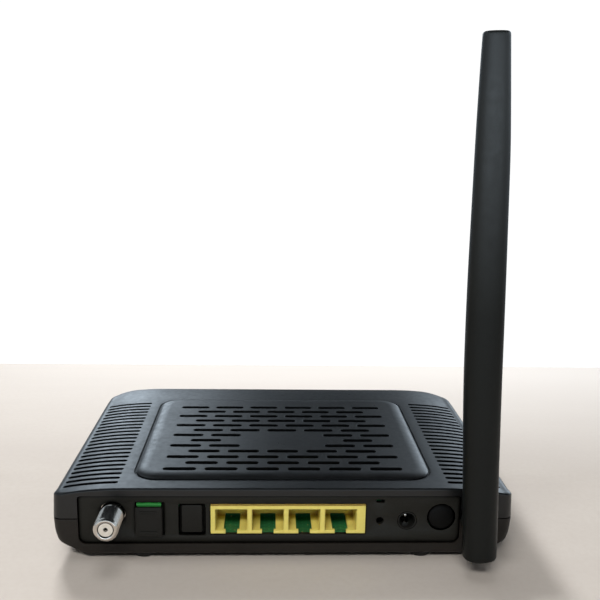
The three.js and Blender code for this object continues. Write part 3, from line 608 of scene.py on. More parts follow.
# name, sRGB base, roughness, grain scale, bump, colour variation, edge wear, specular, extras
# (the extras add dust, edge wear colours, painted shade in crevices with its colour, and a painted
# highlight towards the top)
PLASTICS = [
    ("cover_plastic", (15, 16, 17), 0.34, 2600, 0.20, 0.10, 0.05, 0.44,
     dict(dust=0.03, crevice=0.005)),
    # case: dark plastic whose warm brown tint is a painted reflection of the pale table
    ("case_plastic", (32, 29, 26), 0.50, 2600, 0.25, 0.10, 0.14, 0.22, dict(crevice=0.0012)),
    ("panel_plastic", (31, 31, 28), 0.50, 2800, 0.28, 0.08, 0.14, 0.20, dict(crevice=0.0018)),
    # antenna: its sheen setting paints a highlight that grows towards the top
    ("antenna_plastic", (19, 21, 20), 0.42, 2600, 0.20, 0.10, 0.12, 0.17,
     dict(sheen=(0.10, 0.175, 0.52))),
    ("button_plastic", (12, 12, 12), 0.48, 2200, 0.2, 0.08, 0.03, 0.10, dict(crevice=0.003)),
    ("plug_plastic", (27, 27, 25), 0.48, 2200, 0.2, 0.08, 0.12, 0.2, dict(crevice=0.0018)),
    ("rubber", (30, 28, 26), 0.82, 3000, 0.4, 0.12, 0.2, 0.3, {}),
    # yellow jack: the brown-orange colour is painted shade deep inside the ports
    ("yellow_plastic", (250, 235, 124), 0.38, 1800, 0.15, 0.05, 0.15, 0.45,
     dict(crevice=0.004, deep=srgb(138, 80, 0), reach=(0.22, 0.72),
          wear_colour=srgb(250, 240, 180))),
    ("green_plastic", (44, 136, 60), 0.34, 1800, 0.12, 0.08, 0.2, 0.45,
     dict(wear_colour=srgb(110, 180, 118))),
    # insulator: the near-black colour is painted shade in its hole and recesses
    ("white_insulator", (236, 232, 222), 0.4, 1500, 0.1, 0.03, 0.1, 0.5,
     dict(crevice=0.0016, deep=srgb(10, 9, 8), reach=(0.42, 0.8),
          wear_colour=srgb(250, 250, 245))),
    ("chip_black", (34, 34, 36), 0.55, 3500, 0.4, 0.1, 0.3, 0.4, {}),
    ("ceramic_sleeve", (240, 238, 230), 0.2, 900, 0.05, 0.02, 0.0, 0.5, {}),
    ("fibre_jacket", (240, 206, 60), 0.4, 1500, 0.15, 0.06, 0.0, 0.5, {}),
    ("cable_black", (30, 30, 30), 0.55, 1500, 0.3, 0.1, 0.0, 0.4, {}),
    ("ferrite", (72, 72, 76), 0.6, 2600, 0.5, 0.12, 0.3, 0.4, {}),
    ("hub_plastic", (19, 21, 20), 0.44, 2600, 0.20, 0.10, 0.12, 0.20, {}),
]
# name, sRGB base, roughness, brush stretch, scratches, edge wear, bump, distance felt for painted
# shade in crevices
METALS = [
    ("nickel", (206, 200, 192), 0.20, (1, 0.25, 1), 0.2, 0.12, 0.06, 0.0),
    ("screw_steel", (178, 180, 180), 0.34, (1, 1, 0.3), 0.25, 0.3, 0.12, 0.0),
    ("tinned_steel", (188, 190, 188), 0.36, (0.15, 1, 1), 0.25, 0.3, 0.12, 0.0),
    ("gold_contact", (214, 172, 88), 0.26, (1, 1, 1), 0.2, 0.2, 0.06, 0.003),
    ("transceiver_metal", (178, 160, 120), 0.36, (1, 0.3, 1), 0.25, 0.3, 0.12, 0.0),
    ("heatsink_aluminium", (150, 152, 156), 0.42, (1, 0.12, 1), 0.25, 0.3, 0.15, 0.0),
]
MATERIALS = {name: plastic(name, srgb(*base), *values, **extras)
             for name, base, *values, extras in PLASTICS}
for metal_name, metal_base, *metal_values in METALS:
    MATERIALS[metal_name] = metal(metal_name, srgb(*metal_base), *metal_values)
MATERIALS["circuit_board"] = board_material("circuit_board")
MATERIALS["clear_plastic"] = clear_material("clear_plastic")
for sleeve_name, sleeve_top in (("capacitor_sleeve_a", 0.02065), ("capacitor_sleeve_b", 0.01765)):
    MATERIALS[sleeve_name] = capacitor_material(sleeve_name, sleeve_top)


# ------------------------------------------------------------------ case surfaces
def crown(x, y):
    """top of the cover, falling away at the sides and the front."""
    aside = clamp01((abs(x) - 60) / 24.4)
    forward = max(0.0, y - 101) / 21
    return CROWN_Z - 2.1 * aside ** 2.2 - 1.1 * forward ** 1.5


def edge_drop(y):
    """height of the rounding round the top edge, least at the rear."""
    share = clamp01(y / 7)
    return 0.7 + 1.6 * (share * share * (3 - 2 * share))


def flat(z):
    return lambda x, y: z


def under_roof(x, y):
    return crown(x, y) - ROOF


def plan_ring(half, rear_y, front_y, rear_radius, front_radius, height,
              rear_steps=8, front_steps=16, side_steps=30):
    """plan outline, anticlockwise from above, with the same point count for any radii;
    height gives z from (x, y)."""
    shift = max(0.0, half - 60) * 0.016      # wide outlines sit a little towards +X
    rear, front = (rear_radius, rear_steps), (front_radius, front_steps)
    corners = [(-half + rear_radius, rear_y + rear_radius, math.pi, *rear),
               (half - rear_radius, rear_y + rear_radius, 1.5 * math.pi, *rear),
               (half - front_radius, front_y - front_radius, 0.0, *front),
               (-half + front_radius, front_y - front_radius, 0.5 * math.pi, *front)]
    arcs = [[(x + shift + radius * math.cos(start + turn), y + radius * math.sin(start + turn))
             for turn in quarter_turn(steps)] for x, y, start, radius, steps in corners]
    points = []
    for arc, following in zip(arcs, arcs[1:] + arcs[:1]):
        (x0, y0), (x1, y1) = arc[-1], following[0]
        points += arc + [(x0 + (x1 - x0) * i / side_steps, y0 + (y1 - y0) * i / side_steps)
                         for i in range(1, side_steps)]
    return [(x, y, height(x, y)) for x, y in points]


COARSE = dict(rear_steps=5, front_steps=9, side_steps=10)     # for surfaces inside the case

# Rounding of the cover's top edge: how far it runs in at the sides, rear and front
EDGE_SIDE, EDGE_REAR, EDGE_FRONT, EDGE_CORNER = 2.6, 0.75, 2.9, 2
# Lid outlines inwards from that rounding: half width, rear y, front y, rear and front radius
LID_OUTLINES = [
    (CASE_HALF - DRAFT - EDGE_SIDE, EDGE_REAR, CASE_DEPTH - DRAFT - EDGE_FRONT,
     REAR_RADIUS, FRONT_RADIUS - EDGE_CORNER),
    (81.7, 2, 117, 4.5, 11),
    (77.2, 3.5, 113, 5, 11),
    (69.2, 6, 107, 7, 10),
    (RAISED_HALF + 1.05, RAISED_REAR - 1.05, RAISED_FRONT + 1.05, 10, 10),
]
# Fine groove round the raised area: distance outside its edge, z from the crown
GROOVE = [(0.86, -0.08), (0.75, -0.30), (0.60, -0.45), (0.15, -0.48), (0.02, -0.36)]


def cover_outer():
    corner = (REAR_RADIUS, FRONT_RADIUS)
    rings = [plan_ring(CASE_HALF - inset, inset, CASE_DEPTH - inset, *corner,
                       flat(COVER_SEAM + rise))
             for inset, rise in ((0.3, 0), (0.09, 0.09), (0, 0.3))]
    for k in range(1, 4):
        rings.append(plan_ring(
            CASE_HALF - DRAFT * k / 4, 0, CASE_DEPTH - DRAFT * k / 4, *corner,
            lambda x, y: lerp(COVER_SEAM + 0.3, crown(x, y) - edge_drop(y), k / 4)))
    for turn in quarter_turn(9):
        run = 1 - math.cos(turn)
        rings.append(plan_ring(
            CASE_HALF - DRAFT - EDGE_SIDE * run, EDGE_REAR * run,
            CASE_DEPTH - DRAFT - EDGE_FRONT * run, REAR_RADIUS, FRONT_RADIUS - EDGE_CORNER * run,
            lambda x, y: crown(x, y) - edge_drop(y) * (1 - math.sin(turn))))
    for outer, inner in zip(LID_OUTLINES[:-1], LID_OUTLINES[1:]):
        for i in range(1, 5):
            rings.append(plan_ring(*[lerp(a, b, i / 4) for a, b in zip(outer, inner)], crown))
    for out, z in GROOVE:
        rings.append(plan_ring(RAISED_HALF + out, RAISED_REAR - out, RAISED_FRONT + out,
                               RAISED_RADIUS + out, RAISED_RADIUS + out, flat(CROWN_Z + z)))
    for turn in quarter_turn(12):
        run = 1 - math.cos(turn)
        radius = RAISED_RADIUS - 4 * run
        rings.append(plan_ring(RAISED_HALF - 5.2 * run, RAISED_REAR + 4.9 * run,
                               RAISED_FRONT - 5.2 * run, radius, radius,
                               flat(CROWN_Z + RAISED_RISE * math.sin(turn) ** 1.05)))
    return loft(rings)


def cover_inner():
    walls = (CASE_HALF - WALL, WALL, CASE_DEPTH - WALL, 2, FRONT_RADIUS - WALL)
    stations = [
        (*walls, flat(SEAM_Z - 2)),
        (*walls, lambda x, y: crown(x, y) - 2.6 - 0.75 * edge_drop(y)),
        (CASE_HALF - 5.0, WALL + 0.7, CASE_DEPTH - 5.6, 3, FRONT_RADIUS - 4, under_roof),
        (CASE_HALF - 11, 4.2, CASE_DEPTH - 11, 5, 9, under_roof),
        (CASE_HALF - 19, 6, CASE_DEPTH - 17, 7, 10, under_roof),
        (RAISED_HALF - 1.4, RAISED_REAR + 1.4, RAISED_FRONT - 1.4, 8, 8, flat(CROWN_Z - ROOF)),
        (RAISED_HALF - 5.2, RAISED_REAR + 5.2, RAISED_FRONT - 5.2, 5.4, 5.4,
         flat(RAISED_Z - ROOF)),
    ]
    return loft([plan_ring(*station, **COARSE) for station in stations])


def slot_cutter(x, y, half_length, half_width, surface, z0, flare, steps, side_steps):
    """upright slot whose mouth opens out where it meets the surface."""
    def outline(grow):
        return stadium(x, y, half_length + grow, half_width, steps, side_steps, grow)

    base, middle, mouth = outline(0.0), outline(flare * 0.3), outline(flare)
    return loft([
        [(x, y, z0) for x, y in base],
        [(x, y, surface(x, y) - flare) for x, y in base],
        [(x, y, surface(x, y) - 0.30 * flare) for x, y in middle],
        [(x, y, surface(x, y) + 0.03) for x, y in mouth],
        [(x, y, 33) for x, y in mouth],
    ])


def lid_slots():
    """staggered slots over the raised area, leaving a clear patch at its middle."""
    rows = 13
    clear_half = {4: 1, 5: 1.5, 6: 1}        # by row from the rear, in slot pitches
    places = []
    for row in range(rows):
        count = 5 if (rows - row) % 2 == 0 else 6
        for i in range(count):
            k = i - (count - 1) / 2
            if abs(k) >= clear_half.get(row, 0):
                places.append((k * 16.45 - 0.15, 15.4 + row * 5.925))
    return each(places, lambda x, y: slot_cutter(
        x, y, 6.65, 1.45, flat(RAISED_Z), z0=26.4, flare=0.08, steps=6, side_steps=1))


def side_slots():
    """a column of slots down each side of the lid."""
    places = [(side * 74.0, 5.9 + 4.07 * i) for i in range(23) for side in (-1, 1)]
    return each(places, lambda x, y: slot_cutter(
        x, y, 10.4, 1.0, crown, z0=23.4, flare=0.1, steps=5, side_steps=10))


def panel_opening(low, high, radii, steps):
    outline = rounded_rect(PANEL_LEFT - PANEL_GAP, PANEL_RIGHT + PANEL_GAP, low, high, radii, steps)
    return prism(outline, "y", -1, PANEL_SEAT)


def hub_bore():
    return rod("y", *ANTENNA, HUB_RADIUS + 0.25, -1, 8, 48)


def bearing_rib(z0, z1):
    """rib across the antenna hub."""
    return box(ANTENNA[0] - 6.2, ANTENNA[0] + 6.3, 4.3, 6.1, z0, z1)


def build_cover():
    cover = solid_object("cover_shell", cover_outer(), cuts=[
        cover_inner(),
        merge(lid_slots(), side_slots()),
        panel_opening(10, PANEL_HIGH + PANEL_GAP, [0, 0, 1.3, 1.3], 5),
        hub_bore(),
        merge(*[rod("y", x, LED_Z, 0.95, CASE_DEPTH - 4, CASE_DEPTH + 1, 20) for x in LEDS])])
    # Posts under the lid, and the ribs that hold the panel and the antenna hub
    lid_parts = solid_object(
        "lid_tool",
        merge(each(POSTS, lambda x, y: rod("z", x, y, 3.2, 12.2, 27.6, 24)),
              box(PANEL_LEFT - 0.2, PANEL_RIGHT - 2, 3.1, 4.4, 24.4, 27.3),
              bearing_rib(COVER_SEAM, 27.3)),
        cuts=[merge(each(POSTS, lambda x, y: rod("z", x, y, 1.45, 11, 21.5, 20)), hub_bore())])
    apply_tool(cover, "UNION", lid_parts)
    finish_piece(cover, "cover_plastic", "top_cover", angle=24)
    even = cover.modifiers.new("even", "WEIGHTED_NORMAL")     # keeps large flat faces flat
    even.mode = "FACE_AREA"
    even.weight = 80
    even.keep_sharp = True


# ------------------------------------------------------------------ bottom case
# z, inset of the sides and front, inset of the rear
HULL = [(BASE_SEAM, 0.0, 0.0), (12, 0.35, 0.0), (9, 1.05, 0.0), (7.4, 1.8, 0.0), (6.2, 3.4, 0.0),
        (5.0, 5.8, 0.0), (3.8, 7.9, 0.0), (2.9, 9.7, 0.25), (2.2, 12, 1.2)]
# z, inset of the sides and front, front radius
BASE_HOLLOW = [(4.3, 12.5, 11), (5.6, 9.0, 11), (7.2, 6.0, 11), (9.2, 3.9, 11), (12.4, 2.6, 11),
               (19, WALL, FRONT_RADIUS - WALL)]
UNDERSIDE = 2.2


def base_outer():
    """smooth curve through the hull stations, with its edge at the seam rounded."""
    points = [Vector(station) for station in HULL]
    last = len(points) - 1
    dense = []
    for i in range(last):
        p0, p1, p2, p3 = points[max(i - 1, 0)], points[i], points[i + 1], points[min(i + 2, last)]
        for k in range(5):
            t = k / 5
            dense.append(0.5 * ((2 * p1) + (p2 - p0) * t + (2 * p0 - 5 * p1 + 4 * p2 - p3) * t * t
                                + (3 * p1 - p0 - 3 * p2 + p3) * t ** 3))
    dense.append(points[-1])
    dense[:1] = [Vector((BASE_SEAM, 0.3, 0.3)), Vector((BASE_SEAM - 0.09, 0.09, 0.09)),
                 Vector((BASE_SEAM - 0.3, 0.015, 0.0))]
    return loft([plan_ring(CASE_HALF - max(inset, 0), max(rear, 0), CASE_DEPTH - max(inset, 0),
                           REAR_RADIUS, FRONT_RADIUS, flat(z))
                 for z, inset, rear in reversed(dense)])


def base_inner():
    return loft([plan_ring(CASE_HALF - inset, WALL, CASE_DEPTH - inset, 2, radius, flat(z),
                           **COARSE) for z, inset, radius in BASE_HOLLOW])


def underside_cutter(outline, face_z, top_z, flare=0.35):
    """upright cutter that opens out at the underside; outline takes how far to grow."""
    stations = [(1.0, flare), (face_z - 0.02, flare), (face_z + 0.3 * flare, flare * 0.3),
                (face_z + flare, 0), (top_z, 0)]
    return loft([[(x, y, z) for x, y in outline(grow)] for z, grow in stations])


def build_base():
    screw_wells = each(POSTS, lambda x, y: underside_cutter(
        lambda grow: circle(x, y, 3.15 + grow), UNDERSIDE, 6.2))
    foot_pockets = each(FEET, lambda x, y: underside_cutter(
        lambda grow: circle(x, y, 5.05 + grow, 48), 2.25, 3.1, flare=0.25))
    keyholes = each([(-58, 52), (58, 52)], lambda x, y: underside_cutter(
        lambda grow: keyhole(x, y, grow), UNDERSIDE, 6))
    vents = each([(side * 26, 34 + 6 * i) for side in (-1, 1) for i in range(8)],
                 lambda x, y: underside_cutter(
                     lambda grow: stadium(x, y, 10 + grow, 1.3, grow=grow), UNDERSIDE, 6))
    board_posts = [(-73, 72), (73, 72)]
    base = solid_object("base_shell", base_outer(), cuts=[base_inner()])
    base.data.transform(Matrix.Scale(BIG, 4))
    boolean(base, "UNION",
            merge(each(POSTS, lambda x, y: rod("z", x, y, 3.7, 3.2, 11.9, 32)),
                  each(board_posts, lambda x, y: rod("z", x, y, 2.8, 5.2, 8.1, 28))),
            merge(box(PANEL_LEFT - 0.2, PANEL_RIGHT, 3.1, 4.4, 3.2, 8.1),
                  bearing_rib(6.0, BASE_SEAM)))
    boolean(base, "DIFFERENCE",
            panel_opening(PANEL_LOW - PANEL_GAP, 20, [3.0, 3.0, 0, 0], 8),
            hub_bore(),
            screw_wells,
            each(POSTS, lambda x, y: rod("z", x, y, 1.6, 6, 13, 20)),
            each(board_posts, lambda x, y: rod("z", x, y, 1.2, 4.4, 9, 20)),
            foot_pockets, keyholes, vents)
    base.data.transform(Matrix.Scale(1 / BIG, 4))
    finish_piece(base, "case_plastic", "bottom_case", angle=24)


# ------------------------------------------------------------------ connector panel
def build_panel():
    def opening(x0, x1, z0, z1, radius, steps, low=0, high=4):
        return prism(rounded_rect(x0, x1, z0, z1, radius, steps), "y", low, high)

    outline = rounded_rect(PANEL_LEFT, PANEL_RIGHT, PANEL_LOW, PANEL_HIGH, [2.8, 2.8, 1.2, 1.2], 8)
    panel = solid_object("connector_panel", prism(outline, "y", 1.0, 2.8), cuts=[merge(
        rod("y", *COAX, 5.0, 0, 4, 56),
        opening(OPTIC_X - 5.4, OPTIC_X + 5.9, 9.8, 23.4, 0.4, 3, high=2.1),
        opening(OPTIC_X - 5.2, OPTIC_X + 5.15, 9.95, 23.4, 0.3, 3, low=2.0),
        opening(BLANK_X - 5.2, BLANK_X + 5.2, 9.6, 22.8, 0.8, 5),
        opening(LAN_LEFT - 0.3, LAN_RIGHT + 0.3, LAN_LOW - 0.3, LAN_HIGH + 0.3, 0.3, 3),
        rod("y", *RESET, 1.5, 0, 4, 32),
        opening(RESET[0] - 1.6, RESET[0] + 1.6, 23.1, 24.5, 0.35, 3),
        rod("y", *INLET, 3.8, 0, 4, 48),
        rod("y", *POWER, POWER_RADIUS + 0.35, 0, 4, 64))])
    add_bevel(panel, 0.22, angle=32).miter_outer = "MITER_ARC"
    bake(panel)
    finish_piece(panel, "panel_plastic", "rear_panel")


# ------------------------------------------------------------------ feet and screws
def build_feet():
    rim = [(3.85 + 0.9 * math.sin(turn), 0.9 - 0.9 * math.cos(turn)) for turn in quarter_turn(7)[1:]]
    profile = [(0, 0.28), (3.1, 0.28), (3.45, 0.06), (3.8, 0.0)] + rim + [(4.75, 3.0), (0, 3.0)]
    for x, y in FEET:
        make_piece("rubber_foot_" + place_name(x, y), "rubber", "foot_" + place_name(x, y),
                   turned(profile, "z", x, y, 56))


def build_case_screws():
    profile = [(0, 4.0), (1.9, 4.02)] + eased_start(2.75, 4.1, 0.5) + [(2.8, 6.1), (1.15, 6.1)]
    for i in range(16):                      # thread
        z = 6.4 + i * 0.72
        profile += [(1.0, z), (1.25, z + 0.28), (1.0, z + 0.5)]
    profile += [(1.0, 18.0), (0, 18.6)]
    cone = [(0, 3.0), (1.1, 3.0), (1.0, 4.6), (0, 5.3)]
    for x, y in POSTS:
        make_piece("screw_" + place_name(x, y), "screw_steel", "case_screw_" + place_name(x, y),
                   turned(profile, "z", x, y, 36),
                   cuts=[box(x - 1.75, x + 1.75, y - 0.3, y + 0.3, 3, 5.0),
                         box(x - 0.3, x + 0.3, y - 1.75, y + 1.75, 3, 5.0),
                         turned(cone, "z", x, y, 20)])


# ------------------------------------------------------------------ coaxial connector
def threaded_barrel():
    """hollow barrel with a helical thread that fades out at both ends."""
    count, pitch = 72, 0.794
    crest, depth, lip = 4.6, 0.34, 3.95

    def ring(y, radius_at):
        points = []
        for i in range(count):
            angle = 2 * math.pi * i / count
            radius = radius_at(i)
            points.append((COAX[0] + radius * math.cos(angle), y,
                           COAX[1] + radius * math.sin(angle)))
        return points

    def thread_radius(y, i):
        phase = (y / pitch + i / count) % 1.0
        groove = clamp01(abs(2 * phase - 1) * 1.5 - 0.25)
        fade = min(clamp01((y - (COAX_TIP + 0.5)) / 0.7), clamp01((-0.6 - y) / 0.8))
        tip = lip + clamp01((y - COAX_TIP) / 0.7) * 0.65
        return min(tip, crest - depth * groove * fade)

    bore_and_tip = [(COAX_BORE, 3.2), (COAX_BORE, COAX_TIP + 0.35), (3.15, COAX_TIP + 0.1),
                    (3.4, COAX_TIP), (3.8, COAX_TIP), (lip, COAX_TIP + 0.06)]
    rings = [ring(y, lambda i: radius) for radius, y in bore_and_tip]
    y = COAX_TIP + 0.2
    while y < -0.5:
        rings.append(ring(y, lambda i: thread_radius(y, i)))
        y += pitch / 7
    rings += [ring(y, lambda i: crest) for y in (-0.4, 3.2)]
    return tube_loft(rings)


def build_coax():
    make_piece("coax_barrel", "nickel", "coax_connector_shell", threaded_barrel(),
               joins=[soft_block(COAX[0] - 6, COAX[0] + 6, BOARD_TOP, COAX[1] + 5.6, 0.4,
                                 3.1, 14.5, 0.3, 3)],
               cuts=[rod("y", *COAX, COAX_BORE, 2.5, 3.5, 72)], angle=28)
    insulator = [(0.80, COAX_TIP + 0.55), (0.9, COAX_TIP + 0.4), (1.2, COAX_TIP + 0.36),
                 (2.6, COAX_TIP + 0.36), (2.75, COAX_TIP + 0.5), (2.75, 2.9), (1.5, 2.9),
                 (1.5, -9.8), (0.80, -9.8)]
    make_piece("coax_dielectric", "white_insulator", "coax_insulator",
               turned(insulator, "y", *COAX, 48))
    contact = [(0.9, -9.3), (0.95, -9.4), (1.15, -9.5), (1.25, -9.3), (1.25, 1.5), (0.01, 1.5),
               (0.01, -2), (0.6, -2), (0.6, -6.0), (0.9, -8.0)]
    make_piece("coax_contact", "gold_contact", "coax_centre_contact",
               turned(contact, "y", *COAX, 32))


# ------------------------------------------------------------------ optical port, blanked port
def build_optical_port():
    x = OPTIC_X
    make_piece("optical_socket", "green_plastic", "optical_adapter",
               soft_block(x - 5.0, x + 5.0, BOARD_TOP, 23.1, 0.5, 0.5, 22, 0.35, 4),
               cuts=[merge(box(x - 6, x - 4.3, 0, 6, 9, 22.2), box(x + 4.3, x + 6, 0, 6, 9, 22.2)),
                     merge(box(x - 6, x - 4.65, 0, 3.5, 9, 24), box(x + 4.65, x + 6, 0, 3.5, 9, 24)),
                     box(x - 5.5, x + 5.5, -0.1, 0.65, 9, 22.2),
                     box(x - 3.8, x + 3.8, 0, 12, 11.6, 20.4),
                     rod("y", x, OPTIC_Z, 2.0, 11, 23, 32)])
    sleeve = [(1.25, 7.2), (1.35, 7.0), (1.55, 7.0), (1.65, 7.2), (1.65, 19), (1.25, 19)]
    make_piece("optical_ferrule_sleeve", "ceramic_sleeve", "optical_sleeve",
               turned(sleeve, "y", x, OPTIC_Z, 32))
    make_piece("optical_cap", "plug_plastic", "optical_dust_plug",
               soft_block(x - 5.05, x + 5.15, 10.15, 22.1, 0.7, -1.1, 0.4, 0.4, 6),
               joins=[soft_block(x - 3.5, x + 3.5, 11.9, 20.1, 0.6, 0.2, 6.2, 0.3, 4),
                      soft_block(x - 3.2, x + 3.3, 19.8, 20.6, 0.3, -1.35, -0.8, 0.2, 3),
                      soft_block(x - 3.2, x + 3.3, 11.6, 12.4, 0.3, -1.35, -0.8, 0.2, 3)],
               body="dust_plug")


def build_phone_blank():
    x = BLANK_X
    make_piece("phone_blank", "plug_plastic", "phone_port_blank",
               soft_block(x - 4.95, x + 4.95, 9.85, 22.55, 0.7, 2.6, 3.1, 0.15, 5),
               joins=[soft_block(x - 3.85, x + 3.85, 11.1, 22.3, 0.7, 0.8, 2.8, 0.25, 5),
                      box(x - 5.6, x + 5.6, 3.0, 4.2, 12, 20),
                      box(x - 5.15, x + 5.15, 2.8, 3.9, 8.6, 12.5)])


# ------------------------------------------------------------------ network jack
MOUTH_HALF, MOUTH_LOW, MOUTH_HIGH = 6.05, 11.75, 20.4
# Side view of a contact spring: y, z
SPRING_PATH = [(3.2, 20.55), (3.75, 20.55), (3.95, 20.5), (4.3, 20.36), (5.5, 19.85),
               (7.0, 19.15), (9.0, 18.2), (10.6, 17.45), (11.2, 17.2), (11.5, 17.2)]


def contact_places(x):
    return [x + (k - 3.5) * CONTACT_PITCH for k in range(CONTACTS)]


def port_cavity(x, top, low, high):
    return soft_block(x - MOUTH_HALF, x + MOUTH_HALF, MOUTH_LOW, top, 0.25, low, high, 0.02, 3)


def port_lead_in(x):
    """sloping edge round a port's mouth."""
    rings = []
    for y, grow in ((-0.5, 0.3), (0.66, 0.3), (1.0, 0.0), (1.6, 0.0)):
        outline = rounded_rect(x - MOUTH_HALF - grow, x + MOUTH_HALF + grow, MOUTH_LOW - grow,
                               MOUTH_HIGH + grow, 0.25 + grow, 3)
        rings.append([place("y", *point, y) for point in outline])
    return loft(rings)


def build_lan_jack():
    hole_x = LAN_PORTS[3]
    make_piece(
        "lan_jack_block", "yellow_plastic", "lan_jack_housing",
        soft_block(LAN_LEFT, LAN_RIGHT, LAN_LOW, LAN_HIGH, 0.35, 0.7, 17, 0.22, 4),
        cuts=[merge(box(LAN_LEFT - 1, LAN_RIGHT + 1, 0.0, 1.5, LAN_HIGH - 0.42, LAN_HIGH + 1),
                    box(LAN_LEFT - 1, LAN_RIGHT + 1, 0.0, 1.5, LAN_LOW - 1, LAN_LOW + 0.32)),
              each_port(lambda x: port_cavity(x, MOUTH_HIGH, -0.5, 3.0)),
              each_port(lambda x: port_cavity(x, 20.95, 2.3, 13.6)),
              each_port(port_lead_in),
              each_port(lambda x: box(x - 3.05, x + 3.05, 2.2, 18, 9, 12)),
              each_port(lambda x: box(x - 3.05, x + 3.05, 13, 18, 9.5, 12.4)),
              each_port(lambda x: box(x - 2.25, x + 2.25, -0.5, 2.6, 9, 12)),
              each_port(lambda x: merge(*[box(wire - 0.3, wire + 0.3, 3.9, 12.9, 20.5, 21.5)
                                          for wire in contact_places(x)])),
              rod("x", 8.0, 15.3, 0.7, hole_x + 5.2, hole_x + 8.0, 24),
              each_port(lambda x: rod("y", x + 4.9, 19.7, 0.55, 12.0, 14.6, 20))])


def contact_spring(x):
    section = octagon(wide=0.2, low=0.1, narrow=0.12, high=0.17)
    rings = []
    for i, (y, z) in enumerate(SPRING_PATH):
        before = SPRING_PATH[max(i - 1, 0)]
        after = SPRING_PATH[min(i + 1, len(SPRING_PATH) - 1)]
        along = Vector((after[0] - before[0], after[1] - before[1])).normalized()
        rings.append([(x + side, y - along.y * up, z + along.x * up) for side, up in section])
    return loft(rings)


def build_lan_springs():
    for number, x in enumerate(LAN_PORTS, 1):
        make_piece(f"lan_springs_{number}", "gold_contact", f"lan_contacts_{number}",
                   soft_block(x - 4.6, x + 4.6, 20.1, 20.85, 0.12, 2.4, 3.9, 0.1, 2),
                   joins=[merge(*[contact_spring(wire) for wire in contact_places(x)])])


# ------------------------------------------------------------------ buttons, power inlet, lights
def build_reset_button():
    profile = [(0, 3.4), (0.6, 3.4)] + eased_start(1.0, 3.4, 0.3) + [(1.0, 8.0), (0, 8.0)]
    make_piece("reset_plunger", "button_plastic", "reset_button",
               turned(profile, "y", *RESET, 32), body="reset_button")


def build_power_inlet():
    collar = [(0, 0.9), (3.45, 0.9), (3.55, 0.94), (3.6, 1.05), (3.6, 3.3), (0, 3.3)]
    bore = [(0, 0.2), (3.2, 0.2), (3.2, 0.9), (2.95, 1.25), (2.95, 12), (0, 12)]
    make_piece("dc_inlet_body", "plug_plastic", "dc_jack_housing",
               soft_block(INLET[0] - 4.5, INLET[0] + 4.5, BOARD_TOP, 21.2, 0.4,
                          3.1, 17.2, 0.25, 4),
               joins=[turned(collar, "y", *INLET, 56)],
               cuts=[turned(bore, "y", *INLET, 56), rod("y", *INLET, 1.35, 11, 14.6, 32)])
    pin = [(0, 5.3), (0.35, 5.33), (0.65, 5.5), (0.88, 5.8), (1.0, 6.2), (1.0, 14.2), (0, 14.2)]
    make_piece("dc_centre_pin", "nickel", "dc_jack_pin", turned(pin, "y", *INLET, 36))
    spring_path = [(4.5, 12.95), (5.2, 13.1), (6.6, 13.5), (7.6, 13.6), (8.8, 13.45),
                   (10.4, 13.2), (11.4, 13.15)]
    section = octagon(wide=0.9, low=0.13, narrow=0.8, high=0.16)
    make_piece("dc_side_spring", "nickel", "dc_jack_spring",
               loft([[(INLET[0] + side, y, z + up) for side, up in section]
                     for y, z in spring_path]))


def build_power_button():
    dome = [(0, 0.55), (1.2, 0.56), (2.4, 0.61), (3.4, 0.72), (4.1, 0.88), (4.6, 1.08),
            (4.95, 1.34), (5.14, 1.65), (POWER_RADIUS, 2.0)]
    stem = [(POWER_RADIUS, 4.0), (5.0, 4.2), (1.9, 4.2), (1.9, 13.8), (1.7, 14), (0, 14)]
    make_piece("power_cap", "button_plastic", "power_button",
               turned(dome + stem, "y", *POWER, 72), body="power_button", angle=40)


def build_light_guide():
    pip = [(0, 120.5), (0.7, 120.5), (0.7, CASE_DEPTH - 0.3), (0.6, CASE_DEPTH - 0.15),
           (0, CASE_DEPTH - 0.1)]
    make_piece("light_guide", "clear_plastic", "indicator_light_guide",
               soft_block(-38, 38, LED_Z - 1.8, LED_Z + 1.8, 0.4, 118.6, 121, 0.25, 3),
               joins=[merge(*[turned(pip, "y", x, LED_Z, 24) for x in LEDS])])


# ------------------------------------------------------------------ antenna
# Built upright about its swivel axis, then leaned over and moved out to it.
ANTENNA_MATRIX = (Matrix.Translation((ANTENNA[0] * MILLI, 0, ANTENNA[1] * MILLI))
                  @ Matrix.Rotation(LEAN, 4, "Y"))
# Paddle sections: z, left x, right x, half thickness
BLADE = [(-8.6, -6.3, 6.25, 5.35), (5, -6.45, 6.25, 5.4), (20, -6.85, 6.05, 5.3),
         (40, -7.3, 5.95, 5.1), (60, -7.6, 5.9, 4.9), (80, -7.5, 5.95, 4.6),
         (100, -7.15, 5.95, 4.4), (120, -6.6, 5.9, 4.2), (140, -6.05, 5.8, 4.0),
         (155, -5.55, 5.35, 3.8), (172, -4.85, 4.7, 3.6), (176.9, -4.6, 4.5, 3.5)]
BLADE_HOLLOW = [(9, -4.3, 4.0, 3.0), (60, -5.4, 3.9, 2.9), (120, -4.6, 4.1, 2.4),
                (168, -3.2, 3.2, 1.9)]


def blade_ring(z, left, right, thick, count=72):
    """squarish oval section."""
    centre, half = (left + right) / 2, (right - left) / 2
    points = []
    for i in range(count):
        angle = 2 * math.pi * (i + 0.5) / count
        across, back = math.cos(angle), math.sin(angle)
        points.append((centre + half * math.copysign(abs(across) ** 0.85, across),
                       FOLD_Y + thick * math.copysign(abs(back) ** 0.9, back), z))
    return points


